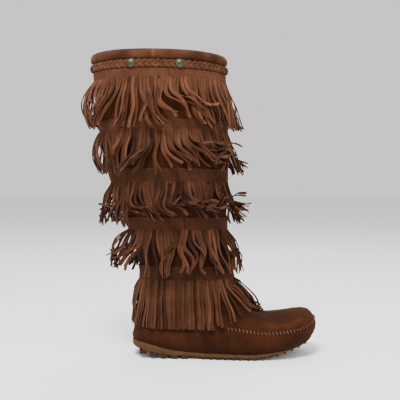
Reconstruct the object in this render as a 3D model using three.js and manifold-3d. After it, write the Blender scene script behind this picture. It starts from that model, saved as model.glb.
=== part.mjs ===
// A tall fringed moccasin boot for the right foot: one hollow suede upper on a studded rubber sole,
// with a rolled collar, a plaited band with metal studs, and five bands of fringe. Millimetres, +Z
// up, +X to the toe, +Y to the inner side of the foot. The origin is on the floor, in the middle of
// the heel stud that the boot stands on.
import * as THREE from "three";
import { mergeVertices } from "three/addons/utils/BufferGeometryUtils.js";
import Module from "manifold-3d";

const wasm = await Module();
wasm.setup();

// Driving sizes of the foot
const SOLE_LENGTH = 254;
const BALL_WIDTH = 90;
const TOE_SWING = 7; // how far the toe tip leans to the inner side
const SOLE_TOP_BALL = 8.7; // top of the rubber above the floor at the ball
const HEEL_LIFT = 14.5; // how much higher the rubber's top is at the heel's back
const TOE_SPRING = 17.8; // how much higher the rubber's top is at the toe tip than at the ball
const TOE_ROLL = 23.7; // how far the rubber's underside is lifted off the floor at the toe tip
const HEEL_BEVEL = 10; // how far the heel's back edge is cut up from the floor
const BULGE = 5; // how far the suede swells past the rubber's edge
const TOE_HEIGHT = 62; // highest point of the toe above the floor

// Driving sizes of the shaft
const ANKLE_HEIGHT = 96;
const BOOT_HEIGHT = 421; // the wall's top at its sides
const ANKLE_BACK = 9; // where the ankle's back is, forward of the sole's back end
const ANKLE_LENGTH = 137;
const ANKLE_WIDTH = 72;
const SHAFT_LEAN = 64; // how far the collar's back lies behind the ankle's back
const SHAFT_DRAW = 11; // how far the shin lies behind the ankle's front
const COLLAR_WIDTH = 82;
const COLLAR_TILT = 3; // the collar's front is this much lower than its back
const COLLAR_SAG = 3.5; // the folds at back and front are this much lower than the sides

// Driving sizes of the materials
const WALL = 1.8; // suede and its lining
const GAP = 0.3; // between pieces that touch
const CUT_GAP = 0.25; // where the upper's form cuts a piece beside it
const MARGIN = 10; // lasting margin, turned in under the insole
const SEAM_RIDGE = 1.4; // how far the moccasin seam stands proud
const INSOLE = 3;
const BOARD_INSET = 4.6; // the insole's edge, in from the sole's
const BOARD_END = 1; // how much further in it ends at heel and toe
const HEEL_STUD_HEIGHT = 4.3;
const HEEL_STUD_TALLER = 1; // how much taller the heel's studs are at its back
const TREAD_HEIGHT = 3.2; // at the ball, and less where the rubber thins out to the toe

// Collar roll, plaited band and metal studs
const ROLL_HEIGHT = 11.1; // below the wall's top
const ROLL_CROWN = 2.2; // above the wall's top
const ROLL_PROUD = 5;
const ROLL_INSIDE = 9; // how far down it is turned in
const ROLL_SKIN = 1.4; // its thickness inside
const ROLL_DROOP = 0.5; // how much lower its full part hangs than its inner edge
const ROLL_GAP = 1; // from the roll to the plaited band
const BRAID_WIDTH = 12;
const BRAID_THICKNESS = 3;
const BRAID_EASE = 0.6; // how much its edges are rounded
const BRAID_DIP = 0.9; // depth of the dips between crossings
const BRAID_CROSSINGS = 24; // of the plait, round the shaft
const STUD_RADIUS = 6.2;
const STUD_HEIGHT = 2.6;

// Fringe
const FRINGE_COUNT = 5;
const LOWEST_BAND_TOP = 30.3; // above the ankle
const BAND_HEIGHTS = [11.5, 14.5, 19, 17.5, 19.5]; // uncut parts of the bands, from the top
const BAND_GAP = 0.6; // from the plaited band to the first band of fringe
const STRIP_LENGTHS = [70.5, 62, 62, 62, 62]; // of each band's strips
const BAND_STAND = 0.45; // from the upper to a band's back
const BAND_THICKNESS = 1.3;
const STRIP_THICKNESS = 1.5;
const STRIP_FILL = 0.78; // a strip's share of its place on the band, below the cut's end
const TIP_FILL = 0.62;
const STRIP_STAND = 3.4; // how far a strip hangs off the upper, clear of the next band

const HEEL_STUD_PITCH = 14.4;
const HEEL_STUD_SIZE = 10;
const HEEL_STUD_ROWS = 5;
const HEEL_STUD_FIRST = 17; // first row, forward of the sole's back end
const RESTING_ROW = 3; // the row of heel studs that the origin is under, counted from 0
const TREAD_PITCH = 10;
const TREAD_SIZE = 5;
const TREAD_FIRST = 100;
const TREAD_END = 13; // at least this far behind the sole's tip
const STUD_INSET = { heel: 0.6, tread: 0.8 }; // from the rubber's edge
const RUBBER_OVERLAP = 0.8; // how far a stud reaches into the rubber that it stands on
const STUD_TAPER = 0.82; // a stud's width at its tip, as a share of its width at its root
const EDGE_TUCK = 1.2; // how far a plate's lower edge lies inside its widest line
const EDGE_WIDEST = 0.45; // height of that line, as a share of the plate's thickness
const SOLE_END = 0.6; // the rubber's first and last sections lie this far inside its length

const HEEL_ORIGIN = HEEL_STUD_FIRST + RESTING_ROW * HEEL_STUD_PITCH;

// Half widths of the sole, as shares of half the ball's width
const SOLE_OUTLINE = [
  { at: 0.0, lateral: 0.74, medial: 0.74 },
  { at: 0.14, lateral: 0.75, medial: 0.74 },
  { at: 0.28, lateral: 0.76, medial: 0.68 },
  { at: 0.42, lateral: 0.84, medial: 0.63 },
  { at: 0.55, lateral: 0.94, medial: 0.74 },
  { at: 0.66, lateral: 1.0, medial: 0.92 },
  { at: 0.76, lateral: 1.0, medial: 1.0 },
  { at: 0.88, lateral: 0.95, medial: 0.98 },
  { at: 1.0, lateral: 0.88, medial: 0.94 },
];
const HEEL_ROUND = { reach: 0.13, power: 2.1 };
const TOE_ROUND = { reach: 0.22, power: 2.15 };

// The sole's side line: shares of the heel lift, the heel bevel, the toe spring and the toe roll
const SOLE_LINE = [
  { at: 0.0, lift: 1.0, bevel: 1.0, spring: 0, roll: 0 },
  { at: 0.06, lift: 0.93, bevel: 0.64, spring: 0, roll: 0 },
  { at: 0.12, lift: 0.72, bevel: 0.38, spring: 0, roll: 0 },
  { at: 0.185, lift: 0.4, bevel: 0.11, spring: 0, roll: 0 },
  { at: 0.225, lift: 0.26, bevel: 0, spring: 0, roll: 0 },
  { at: 0.3, lift: 0.12, bevel: 0, spring: 0, roll: 0 },
  { at: 0.4, lift: 0.02, bevel: 0, spring: 0, roll: 0 },
  { at: 0.5, lift: 0, bevel: 0, spring: 0, roll: 0 },
  { at: 0.66, lift: 0, bevel: 0, spring: 0, roll: 0 },
  { at: 0.74, lift: 0, bevel: 0, spring: 0.1, roll: 0.14 },
  { at: 0.81, lift: 0, bevel: 0, spring: 0.23, roll: 0.31 },
  { at: 0.88, lift: 0, bevel: 0, spring: 0.45, roll: 0.52 },
  { at: 0.95, lift: 0, bevel: 0, spring: 0.7, roll: 0.77 },
  { at: 1.0, lift: 0, bevel: 0, spring: 1.0, roll: 1.0 },
];

// The foot's side wall from the rubber to the moccasin seam: how far each height stands out, as
// shares of the bulge
const WALL_ROWS = [
  { rise: 0.0, heel: -0.35, side: -0.3, toe: -0.3 },
  { rise: 0.14, heel: 0.05, side: 0.42, toe: 0.5 },
  { rise: 0.4, heel: -0.1, side: 0.8, toe: 1.0 },
  { rise: 0.7, heel: -0.4, side: 0.75, toe: 1.12 },
  { rise: 1.0, heel: -0.75, side: 0.3, toe: 0.72 },
];

// Heights along the foot, as shares of the toe height: the moccasin seam, and the top line of the vamp
const FOOT_LINE = [
  { at: 0.0, seam: 0.68, top: 4.2 },
  { at: 0.25, seam: 0.7, top: 3.2 },
  { at: 0.42, seam: 0.71, top: 2.3 },
  { at: 0.53, seam: 0.695, top: 1.78 },
  { at: 0.575, seam: 0.68, top: 1.55 },
  { at: 0.61, seam: 0.66, top: 1.28 },
  { at: 0.65, seam: 0.632, top: 1.1 },
  { at: 0.7, seam: 0.607, top: 0.98 },
  { at: 0.76, seam: 0.6, top: 0.925 },
  { at: 0.84, seam: 0.617, top: 0.95 },
  { at: 0.92, seam: 0.675, top: 0.995 },
  { at: 0.96, seam: 0.73, top: 1.0 },
  { at: 1.0, seam: 0.815, top: 0.955 },
];

// The shaft from the ankle to the collar: shares of the lean, of the shin's draw and of the change
// in width, and how squarely its sides meet in the folds at back and front
const SHAFT_ROWS = [
  { at: 0.0, back: 0.0, front: 0.0, width: 0.0, fold: 0.56 },
  { at: 0.065, back: -0.03, front: 0.66, width: -0.05, fold: 0.57 },
  { at: 0.168, back: 0.1, front: 1.14, width: 0.0, fold: 0.6 },
  { at: 0.276, back: 0.27, front: 1.24, width: 0.15, fold: 0.62 },
  { at: 0.484, back: 0.66, front: 1.17, width: 0.45, fold: 0.64 },
  { at: 0.702, back: 0.87, front: 1.2, width: 0.75, fold: 0.62 },
  { at: 0.9, back: 0.985, front: 1.45, width: 0.93, fold: 0.6 },
  { at: 1.0, back: 1.0, front: 1.6, width: 1.0, fold: 0.58 },
];

// How the strips of each band fall, round the shaft from its back over the outer side. Degrees at
// the strip's end: sweep turns it along the band, bulge throws its upper half out and draws it in
// again, flare throws its tip out.
const FRINGE_FLOW = [
  [
    { at: 0.0, sweep: 0, bulge: 42, flare: 6 },
    { at: 0.07, sweep: -8, bulge: 26, flare: 4 },
    { at: 0.14, sweep: -22, bulge: 12, flare: 5 },
    { at: 0.21, sweep: -8, bulge: 10, flare: 6 },
    { at: 0.28, sweep: 30, bulge: 12, flare: 8 },
    { at: 0.35, sweep: 30, bulge: 10, flare: 6 },
    { at: 0.43, sweep: 8, bulge: 16, flare: 6 },
    { at: 0.5, sweep: 0, bulge: 26, flare: 14 },
    { at: 0.62, sweep: -14, bulge: 12, flare: 5 },
    { at: 0.76, sweep: 16, bulge: 10, flare: 6 },
    { at: 0.9, sweep: -8, bulge: 16, flare: 5 },
  ],
  [
    { at: 0.0, sweep: 0, bulge: 34, flare: 2 },
    { at: 0.08, sweep: 6, bulge: 22, flare: 4 },
    { at: 0.15, sweep: 24, bulge: 12, flare: 5 },
    { at: 0.22, sweep: -26, bulge: 10, flare: 5 },
    { at: 0.27, sweep: 4, bulge: 10, flare: 6 },
    { at: 0.32, sweep: 42, bulge: 10, flare: 8 },
    { at: 0.4, sweep: 34, bulge: 16, flare: 14 },
    { at: 0.5, sweep: 0, bulge: 20, flare: 30 },
    { at: 0.6, sweep: -20, bulge: 12, flare: 8 },
    { at: 0.75, sweep: 12, bulge: 10, flare: 6 },
    { at: 0.9, sweep: -10, bulge: 18, flare: 4 },
  ],
  [
    { at: 0.0, sweep: 0, bulge: 14, flare: 30 },
    { at: 0.08, sweep: -18, bulge: 12, flare: 12 },
    { at: 0.16, sweep: 6, bulge: 12, flare: 5 },
    { at: 0.24, sweep: 16, bulge: 12, flare: 6 },
    { at: 0.31, sweep: 36, bulge: 16, flare: 8 },
    { at: 0.39, sweep: 48, bulge: 14, flare: 14 },
    { at: 0.46, sweep: 36, bulge: 10, flare: 34 },
    { at: 0.54, sweep: -14, bulge: 12, flare: 30 },
    { at: 0.66, sweep: -16, bulge: 10, flare: 6 },
    { at: 0.8, sweep: 14, bulge: 12, flare: 5 },
    { at: 0.92, sweep: 10, bulge: 12, flare: 14 },
  ],
  [
    { at: 0.0, sweep: 0, bulge: 6, flare: 44 },
    { at: 0.08, sweep: -44, bulge: 10, flare: 22 },
    { at: 0.16, sweep: -22, bulge: 12, flare: 8 },
    { at: 0.22, sweep: -6, bulge: 12, flare: 5 },
    { at: 0.29, sweep: 26, bulge: 16, flare: 6 },
    { at: 0.37, sweep: 18, bulge: 14, flare: 6 },
    { at: 0.45, sweep: 10, bulge: 22, flare: 8 },
    { at: 0.52, sweep: 0, bulge: 36, flare: 8 },
    { at: 0.65, sweep: -12, bulge: 12, flare: 6 },
    { at: 0.8, sweep: 10, bulge: 10, flare: 6 },
    { at: 0.92, sweep: 16, bulge: 10, flare: 20 },
  ],
  [
    { at: 0.0, sweep: 0, bulge: 16, flare: 2 },
    { at: 0.08, sweep: -8, bulge: 12, flare: 2 },
    { at: 0.17, sweep: 0, bulge: 6, flare: 2 },
    { at: 0.26, sweep: 2, bulge: 6, flare: 3 },
    { at: 0.34, sweep: 8, bulge: 8, flare: 5 },
    { at: 0.42, sweep: 26, bulge: 10, flare: 16 },
    { at: 0.5, sweep: 0, bulge: 14, flare: 46 },
    { at: 0.58, sweep: -26, bulge: 10, flare: 16 },
    { at: 0.68, sweep: -6, bulge: 8, flare: 4 },
    { at: 0.8, sweep: 0, bulge: 6, flare: 3 },
    { at: 0.92, sweep: 8, bulge: 12, flare: 2 },
  ],
];

// Fineness of the meshes
const AROUND = 28; // columns of the upper, and places of the strips
const STRIP_STEPS = [4, 4, 4, 3, 3]; // of each band's strips
const STUD_SIDES = 8;
const SOLE_STATIONS = 22;
const FILLER_SLACK = 2; // between the filler and the turned-in margin

const TURN = Math.PI * 2;
const mix = (a, b, share) => a + (b - a) * share;
const clamp01 = (x) => Math.min(1, Math.max(0, x));
const smooth = (from, to, x) => {
  const t = clamp01((x - from) / (to - from));
  return t * t * (3 - 2 * t);
};

// A smooth curve through one column of a table. With a period of 1 it closes on itself.
function through(rows, column, closed = false) {
  const n = rows.length;
  const row = (i) => {
    const near = rows[closed ? ((i % n) + n) % n : Math.min(n - 1, Math.max(0, i))];
    return { at: near.at + (closed ? Math.floor(i / n) : 0), value: near[column] };
  };
  const slope = (i) => {
    const [before, after] = [row(i - 1), row(i + 1)];
    return after.at > before.at ? (after.value - before.value) / (after.at - before.at) : 0;
  };
  return (at) => {
    const x = closed ? at - Math.floor(at) : Math.min(rows[n - 1].at, Math.max(rows[0].at, at));
    let i = 0;
    while (i < n - (closed ? 1 : 2) && row(i + 1).at <= x) i++;
    const [a, b] = [row(i), row(i + 1)];
    const width = b.at - a.at;
    const t = (x - a.at) / width;
    const rise = (t * t * (3 - 2 * t)) * (b.value - a.value);
    const ends = t * (1 - t) * ((1 - t) * slope(i) - t * slope(i + 1)) * width;
    return a.value + rise + ends;
  };
}

// A straight-sided curve through one column of a table
function straight(rows, column) {
  return (at) => {
    let i = 0;
    while (i < rows.length - 2 && rows[i + 1].at <= at) i++;
    const [a, b] = [rows[i], rows[i + 1]];
    return mix(a[column], b[column], clamp01((at - a.at) / (b.at - a.at)));
  };
}

const outline = { lateral: through(SOLE_OUTLINE, "lateral"), medial: through(SOLE_OUTLINE, "medial") };
const soleLine = {
  lift: through(SOLE_LINE, "lift"),
  bevel: through(SOLE_LINE, "bevel"),
  spring: through(SOLE_LINE, "spring"),
  roll: through(SOLE_LINE, "roll"),
};
const wallRows = WALL_ROWS.map((row) => ({ ...row, at: row.rise }));
const wallOut = {
  heel: through(wallRows, "heel"),
  side: through(wallRows, "side"),
  toe: through(wallRows, "toe"),
};
const footLine = { seam: through(FOOT_LINE, "seam"), top: through(FOOT_LINE, "top") };
const shaftLine = {
  back: straight(SHAFT_ROWS, "back"),
  front: straight(SHAFT_ROWS, "front"),
  width: straight(SHAFT_ROWS, "width"),
  fold: straight(SHAFT_ROWS, "fold"),
};

// Height of the rubber's top and of its studs' tips above the floor
const soleTop = (x) =>
  SOLE_TOP_BALL + HEEL_LIFT * soleLine.lift(x / SOLE_LENGTH) + TOE_SPRING * soleLine.spring(x / SOLE_LENGTH);
const soleTip = (x) =>
  Math.max(0, HEEL_BEVEL * soleLine.bevel(x / SOLE_LENGTH) + TOE_ROLL * soleLine.roll(x / SOLE_LENGTH));
const treadHeight = (x) => (TREAD_HEIGHT * (soleTop(x) - soleTip(x))) / SOLE_TOP_BALL;
const heelStudHeight = (x) => HEEL_STUD_HEIGHT + HEEL_STUD_TALLER * soleLine.lift(x / SOLE_LENGTH);
const solePlate = (x) =>
  soleTip(x) + mix(heelStudHeight(x), treadHeight(x), smooth(0.3, 0.4, x / SOLE_LENGTH));

// Centre line and half width of the sole on plan
const soleCentre = (x) => TOE_SWING * smooth(0.5, 1.08, x / SOLE_LENGTH);
function soleHalf(x, side) {
  const at = clamp01(x / SOLE_LENGTH);
  const round = (end, share) => {
    const t = Math.min(1, share / end.reach);
    return (1 - (1 - t) ** end.power) ** (1 / end.power);
  };
  const width = side < 0 ? outline.lateral(at) : outline.medial(at);
  return (BALL_WIDTH / 2) * width * round(HEEL_ROUND, at) * round(TOE_ROUND, 1 - at);
}

// A point of the sole's outline. Turn 0 is the heel's back, 0.25 the outer side and 0.5 the toe.
function outlinePoint(turn) {
  const angle = turn * TURN;
  const x = (SOLE_LENGTH * (1 - Math.cos(angle))) / 2;
  const side = Math.sin(angle) >= 0 ? -1 : 1;
  return new THREE.Vector2(x, soleCentre(x) + side * soleHalf(x, side));
}
function outlineOffset(turn, out) {
  const step = 0.004;
  const along = outlinePoint(turn + step).sub(outlinePoint(turn - step)).normalize();
  return outlinePoint(turn).add(new THREE.Vector2(along.y, -along.x).multiplyScalar(out));
}

// The foot's wall at a share of its rise from the rubber to the moccasin seam
function wallPoint(turn, rise) {
  const at = (1 - Math.cos(turn * TURN)) / 2;
  const heel = 1 - smooth(0.0, 0.3, at);
  const toe = smooth(0.7, 1.0, at);
  const share = mix(mix(wallOut.side(rise), wallOut.heel(rise), heel), wallOut.toe(rise), toe);
  const p = outlineOffset(turn, BULGE * share);
  const foot = soleTop(at * SOLE_LENGTH) + GAP;
  const seam = TOE_HEIGHT * footLine.seam(at);
  return new THREE.Vector3(p.x, p.y, mix(foot, seam, rise));
}

// Half the width of an oval between its two ends, at a share of its length, for one squareness of
// its folds
const ovalHalf = (share, half, fold) => {
  const fromEnd = 1 - Math.abs(1 - 2 * clamp01(share));
  return half * Math.sin((Math.PI / 2) * fromEnd ** fold);
};

// A ring of the shaft at a share of the height from the ankle to the collar
function shaftPoint(turn, height) {
  const back = ANKLE_BACK - SHAFT_LEAN * shaftLine.back(height);
  const front = ANKLE_BACK + ANKLE_LENGTH - SHAFT_DRAW * shaftLine.front(height);
  const half = mix(ANKLE_WIDTH, COLLAR_WIDTH, shaftLine.width(height)) / 2;
  const share = (1 - Math.cos(turn * TURN)) / 2;
  const side = Math.sin(turn * TURN) >= 0 ? -1 : 1;
  const y = side * ovalHalf(share, half, shaftLine.fold(height));
  const tilt = COLLAR_TILT * height * (share - 0.5);
  const sag = (1 - Math.abs(y) / half) * COLLAR_SAG * height;
  return new THREE.Vector3(mix(back, front, share), y, mix(ANKLE_HEIGHT, BOOT_HEIGHT, height) - tilt - sag);
}

// The moccasin seam's run along each side, and its place at x
const EDGE_SAMPLES = 200;
const SEAM_RUN = { "-1": [], "1": [] };
for (let i = 0; i <= EDGE_SAMPLES; i++) {
  SEAM_RUN[-1].push(wallPoint(i / EDGE_SAMPLES / 2, 1));
  SEAM_RUN[1].push(wallPoint(1 - i / EDGE_SAMPLES / 2, 1));
}
function alongRun(run, x) {
  const found = run.findIndex((p) => p.x >= x);
  const next = found < 0 ? run.length - 1 : Math.max(1, found);
  const [a, b] = [run[next - 1], run[next]];
  return a.clone().lerp(b, clamp01((x - a.x) / (b.x - a.x)));
}

// The plug and instep. Every section across the foot runs from the seam up to the ankle's ring or,
// ahead of it, over the vamp's top line: straight beside the heel and domed over the forefoot. A
// column of the mesh climbs its sections by a share that rises at once at the toe and evenly at the
// heel.
function plugPoint(turn, share) {
  const side = Math.sin(turn * TURN) >= 0 ? -1 : 1;
  const at = (1 - Math.cos(turn * TURN)) / 2;
  const x = mix(wallPoint(turn, 1).x, shaftPoint(turn, 0).x, share);
  const early = clamp01((at - 0.6) / 0.4) ** 2.3;
  const climb = early * (1 - (1 - share) ** 18) + (1 - early) * share ** mix(1, 4, early);
  const domed = smooth(0.35, 0.6, x / SOLE_LENGTH);
  const across = mix(1 - climb, Math.cos((climb * Math.PI) / 2), domed);
  const up = mix(climb, Math.sin((climb * Math.PI) / 2), domed);
  const seam = alongRun(SEAM_RUN[side], x);
  const ankle = side * ovalHalf((x - ANKLE_BACK) / ANKLE_LENGTH, ANKLE_WIDTH / 2, SHAFT_ROWS[0].fold);
  const middle = ankle + soleCentre(x) * smooth(0.5, 0.7, x / SOLE_LENGTH);
  const top = Math.min(ANKLE_HEIGHT, TOE_HEIGHT * footLine.top(x / SOLE_LENGTH));
  return new THREE.Vector3(x, mix(middle, seam.y, across), mix(seam.z, top, up));
}

// The upper's outer face at a level: 0 to 1 is the margin under the insole, 1 to 2 the wall, 2 to 3
// the plug and instep, and 3 to 4 the shaft.
function upperPoint(turn, level) {
  if (level < 1) {
    const p = outlineOffset(turn, mix(-MARGIN, BULGE * WALL_ROWS[0].side, level));
    return new THREE.Vector3(p.x, p.y, soleTop(p.x) + GAP);
  }
  if (level < 2) return wallPoint(turn, level - 1);
  if (level < 3) return plugPoint(turn, level - 2);
  return shaftPoint(turn, level - 3);
}

// The same face moved out by some millimetres along its normal. At the sharp edge below the foot,
// between margin and wall, the move is that of a mitre.
const TOP_LEVEL = 4;
const EDGE_LEVEL = 1;
function skinNormal(turn, level) {
  const [across, up] = [0.006, 0.02];
  const [low, high] = [Math.max(Math.min(0, level), level - up), Math.min(TOP_LEVEL, level + up)];
  const along = upperPoint(turn + across, level).sub(upperPoint(turn - across, level));
  const rise = upperPoint(turn, high).sub(upperPoint(turn, low));
  return along.cross(rise).normalize();
}
function skin(turn, level, out) {
  const beside = 0.03;
  let move = skinNormal(turn, level);
  if (level === EDGE_LEVEL) {
    const [margin, wall] = [skinNormal(turn, level - beside), skinNormal(turn, level + beside)];
    move = margin.clone().add(wall).divideScalar(1 + margin.dot(wall));
  }
  return upperPoint(turn, level).addScaledVector(move, out);
}
const levelAt = (z) => 3 + (z - ANKLE_HEIGHT) / (BOOT_HEIGHT - ANKLE_HEIGHT);

// A mesh from a grid of points, rows by columns, closed round its columns. Rows either close on
// themselves, as in a tube round the leg, or end in flat caps. Where other says so, a quad is cut
// along its other diagonal.
function gridSolid(rows, capped, other = () => false) {
  const columns = rows[0].length;
  const points = rows.flat();
  const index = [];
  const at = (r, c) => (r % rows.length) * columns + (c % columns);
  const last = capped ? rows.length - 1 : rows.length;
  for (let r = 0; r < last; r++) {
    for (let c = 0; c < columns; c++) {
      const [a, b, d, e] = [at(r, c), at(r, c + 1), at(r + 1, c + 1), at(r + 1, c)];
      if (other(r, c)) index.push(a, b, e, b, d, e);
      else index.push(a, b, d, a, d, e);
    }
  }
  if (capped) {
    if (columns === 4) {
      const end = rows.length - 1;
      index.push(at(0, 0), at(0, 2), at(0, 1), at(0, 0), at(0, 3), at(0, 2));
      index.push(at(end, 0), at(end, 1), at(end, 2), at(end, 0), at(end, 2), at(end, 3));
    }
    for (const [r, flip] of columns === 4 ? [] : [[0, true], [rows.length - 1, false]]) {
      const centre = rows[r].reduce((sum, p) => sum.add(p), new THREE.Vector3()).divideScalar(columns);
      const middle = points.push(centre) - 1;
      for (let c = 0; c < columns; c++) {
        const [a, b] = flip ? [c + 1, c] : [c, c + 1];
        index.push(at(r, a), at(r, b), middle);
      }
    }
  }
  const geometry = new THREE.BufferGeometry().setFromPoints(points).setIndex(index);
  const solid = solidOf(geometry);
  return solid.volume() < 0 ? solidOf(turnedOver(geometry)) : solid;
}
function turnedOver(geometry) {
  const index = Array.from(geometry.index.array);
  for (let i = 0; i < index.length; i += 3) [index[i + 1], index[i + 2]] = [index[i + 2], index[i + 1]];
  return geometry.clone().setIndex(index);
}

const MERGE = 1e-3;
function solidOf(geometry) {
  const bare = geometry.clone();
  for (const name of ["normal", "uv"]) bare.deleteAttribute(name);
  const merged = mergeVertices(bare, MERGE);
  return new wasm.Manifold(
    new wasm.Mesh({
      numProp: 3,
      vertProperties: merged.attributes.position.array,
      triVerts: new Uint32Array(merged.index.array),
    }),
  );
}
function geometryOf(solid) {
  const { numProp, vertProperties, triVerts } = solid.getMesh();
  const points = [];
  for (let i = 0; i < vertProperties.length; i += numProp) {
    points.push(new THREE.Vector3(...vertProperties.subarray(i, i + 3)));
  }
  const geometry = new THREE.BufferGeometry().setFromPoints(points).setIndex(Array.from(triVerts));
  geometry.computeVertexNormals();
  return geometry;
}

const SUEDE = new THREE.MeshStandardMaterial({ color: 0x6b3f26, roughness: 0.95, metalness: 0 });
const FRINGE_SUEDE = new THREE.MeshStandardMaterial({ color: 0x74462c, roughness: 0.95, metalness: 0 });
const RUBBER = new THREE.MeshStandardMaterial({ color: 0x8a6136, roughness: 0.8, metalness: 0 });
const LINING = new THREE.MeshStandardMaterial({ color: 0x8c6a4a, roughness: 0.9, metalness: 0 });
const METAL = new THREE.MeshStandardMaterial({ color: 0x8f8a74, roughness: 0.45, metalness: 0.9 });

const boot = new THREE.Group();
boot.position.x = -HEEL_ORIGIN;
function addPiece(name, solid, material) {
  const mesh = new THREE.Mesh(geometryOf(solid), material);
  mesh.name = name;
  boot.add(mesh);
  return mesh;
}

// The upper's faces as rows of points, its seam raised as a ridge along the forefoot
const PLUG_LEVELS = [2, 2.018, 2.055, 2.13, 2.27, 2.46, 2.68, 2.87];
const SHAFT_LEVELS = SHAFT_ROWS.map((row) => 3 + row.at);
const UPPER_LEVELS = [0, EDGE_LEVEL, 1.1, 1.35, 1.7, ...PLUG_LEVELS, ...SHAFT_LEVELS];
function upperFace(out, levels = UPPER_LEVELS) {
  const ridge = (turn) => SEAM_RIDGE * smooth(0.45, 0.55, (1 - Math.cos(turn * TURN)) / 2);
  return levels.map((level) =>
    Array.from({ length: AROUND }, (_, i) => {
      const turn = i / AROUND;
      return skin(turn, level, out + (level === 2 && out >= 0 ? ridge(turn) : 0));
    }),
  );
}

// The upper: outer face, top edge, inner face and the turned-in edge below, as one closed tube.
// Both faces of the wall are cut into triangles alike, and mirrored from the outer side of the foot
// to the inner. Grown by a clearance, the wall cuts the pieces that lie on it.
function upperWall(grown) {
  const levels = [-grown / MARGIN, ...UPPER_LEVELS.slice(1)];
  const [outer, inner] = [upperFace(grown, levels), upperFace(-WALL - grown, levels).reverse()];
  return gridSolid([...outer, ...inner], false, (r, c) => r >= levels.length !== c >= AROUND / 2);
}

const CLEARED_UPPER = upperWall(CUT_GAP);

// A plate's section at x: from its lateral to its medial edge, with eased corners
function plateSection(x, lateral, medial, bottom, top) {
  const middle = mix(bottom, top, EDGE_WIDEST);
  const tuck = Math.min(EDGE_TUCK, (medial - lateral) / 6);
  return [
    [lateral + tuck, bottom],
    [medial - tuck, bottom],
    [medial, middle],
    [medial - tuck / 2, top],
    [lateral + tuck / 2, top],
    [lateral, middle],
  ].map(([y, z]) => new THREE.Vector3(x, y, z));
}
const stations = (from, to, count) =>
  Array.from({ length: count + 1 }, (_, i) => mix(from, to, (1 - Math.cos((Math.PI * i) / count)) / 2));

function studBlock(x, y, size) {
  const tip = soleTip(x);
  const root = solePlate(x) + RUBBER_OVERLAP;
  const corners = 4;
  const ring = (radius, z) =>
    Array.from({ length: corners }, (_, i) => {
      const angle = ((i + 0.5) / corners) * TURN;
      return new THREE.Vector3(x + radius * Math.cos(angle), y + radius * Math.sin(angle), z);
    });
  const radius = size * Math.SQRT1_2;
  return gridSolid([ring(radius, root), ring(radius * STUD_TAPER, tip)], true);
}
// The outsole: a rubber plate with the sole's side line, and the studs under it
function makeOutsole() {
  const rows = stations(SOLE_END, SOLE_LENGTH - SOLE_END, SOLE_STATIONS).map((x) => {
    const [lateral, medial] = [-1, 1].map((side) => soleCentre(x) + side * soleHalf(x, side));
    return plateSection(x, lateral, medial, solePlate(x), soleTop(x));
  });
  let sole = gridSolid(rows, true);
  for (let row = 0; row < HEEL_STUD_ROWS; row++) {
    const x = HEEL_STUD_FIRST + row * HEEL_STUD_PITCH;
    for (const side of [-1, 0, 1]) {
      const y = soleCentre(x) + side * (soleHalf(x, side) - HEEL_STUD_SIZE / 2 - STUD_INSET.heel);
      sole = sole.add(studBlock(x, y, HEEL_STUD_SIZE));
    }
  }
  for (let x = TREAD_FIRST; x <= SOLE_LENGTH - TREAD_END; x += TREAD_PITCH) {
    for (const side of [-1, 0, 1]) {
      const y = soleCentre(x) + side * (soleHalf(x, side) - TREAD_SIZE / 2 - STUD_INSET.tread);
      sole = sole.add(studBlock(x, y, TREAD_SIZE));
    }
  }
  return sole;
}

// A height above the rubber's top, measured square to it
function raised(x, height) {
  const slope = soleTop(x + 1) - soleTop(x);
  return soleTop(x) + height * Math.hypot(1, slope);
}

// The insole: a board inside the margin's wall, with the filler that reaches down through the
// upper's opening
function makeInsole() {
  const board = (inset, low, high) => {
    const edges = { lateral: [], medial: [] };
    for (let i = 0; i <= EDGE_SAMPLES; i++) {
      edges.lateral.push(outlineOffset(i / EDGE_SAMPLES / 2, -inset));
      edges.medial.push(outlineOffset(1 - i / EDGE_SAMPLES / 2, -inset));
    }
    const edgeAt = (x, edge) => alongRun(edge, x).y;
    const end = inset + BOARD_END;
    const rows = stations(end, SOLE_LENGTH - end, SOLE_STATIONS).map((x) =>
      plateSection(x, edgeAt(x, edges.lateral), edgeAt(x, edges.medial), raised(x, low), raised(x, high)),
    );
    return gridSolid(rows, true);
  };
  const seat = 3 * GAP + WALL;
  const filler = board(MARGIN + FILLER_SLACK, GAP, seat + INSOLE / 2);
  return board(BOARD_INSET, seat, seat + INSOLE).add(filler).subtract(CLEARED_UPPER);
}

// A closed band round the shaft whose section is a list of [outwards, height above the band's lower
// edge]
function bandSolid(section, lowZ, around, wave) {
  const rows = section.map(([out, up], corner) =>
    Array.from({ length: around }, (_, i) => {
      const turn = i / around;
      const level = Math.min(TOP_LEVEL, levelAt(lowZ + up));
      const over = Math.max(0, lowZ + up - BOOT_HEIGHT);
      const push = wave ? wave(i, corner) : 0;
      const p = skin(turn, level, out + push);
      p.z += over;
      return p;
    }),
  );
  return gridSolid(rows, false);
}

function makeCollarRoll() {
  const inside = -WALL - GAP;
  const section = [
    [GAP, -ROLL_HEIGHT],
    [ROLL_PROUD * 0.55, -ROLL_HEIGHT - ROLL_DROOP],
    [ROLL_PROUD * 0.95, -ROLL_HEIGHT * 0.75],
    [ROLL_PROUD, -ROLL_HEIGHT * 0.42],
    [ROLL_PROUD * 0.75, -ROLL_HEIGHT * 0.08],
    [ROLL_PROUD * 0.2, ROLL_CROWN * 0.87],
    [inside * 0.6, ROLL_CROWN],
    [inside - ROLL_SKIN * 0.85, ROLL_CROWN * 0.4],
    [inside - ROLL_SKIN, -ROLL_INSIDE],
    [inside, -ROLL_INSIDE],
    [inside, GAP],
    [GAP, GAP],
  ];
  return bandSolid(section, BOOT_HEIGHT, AROUND);
}

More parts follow.
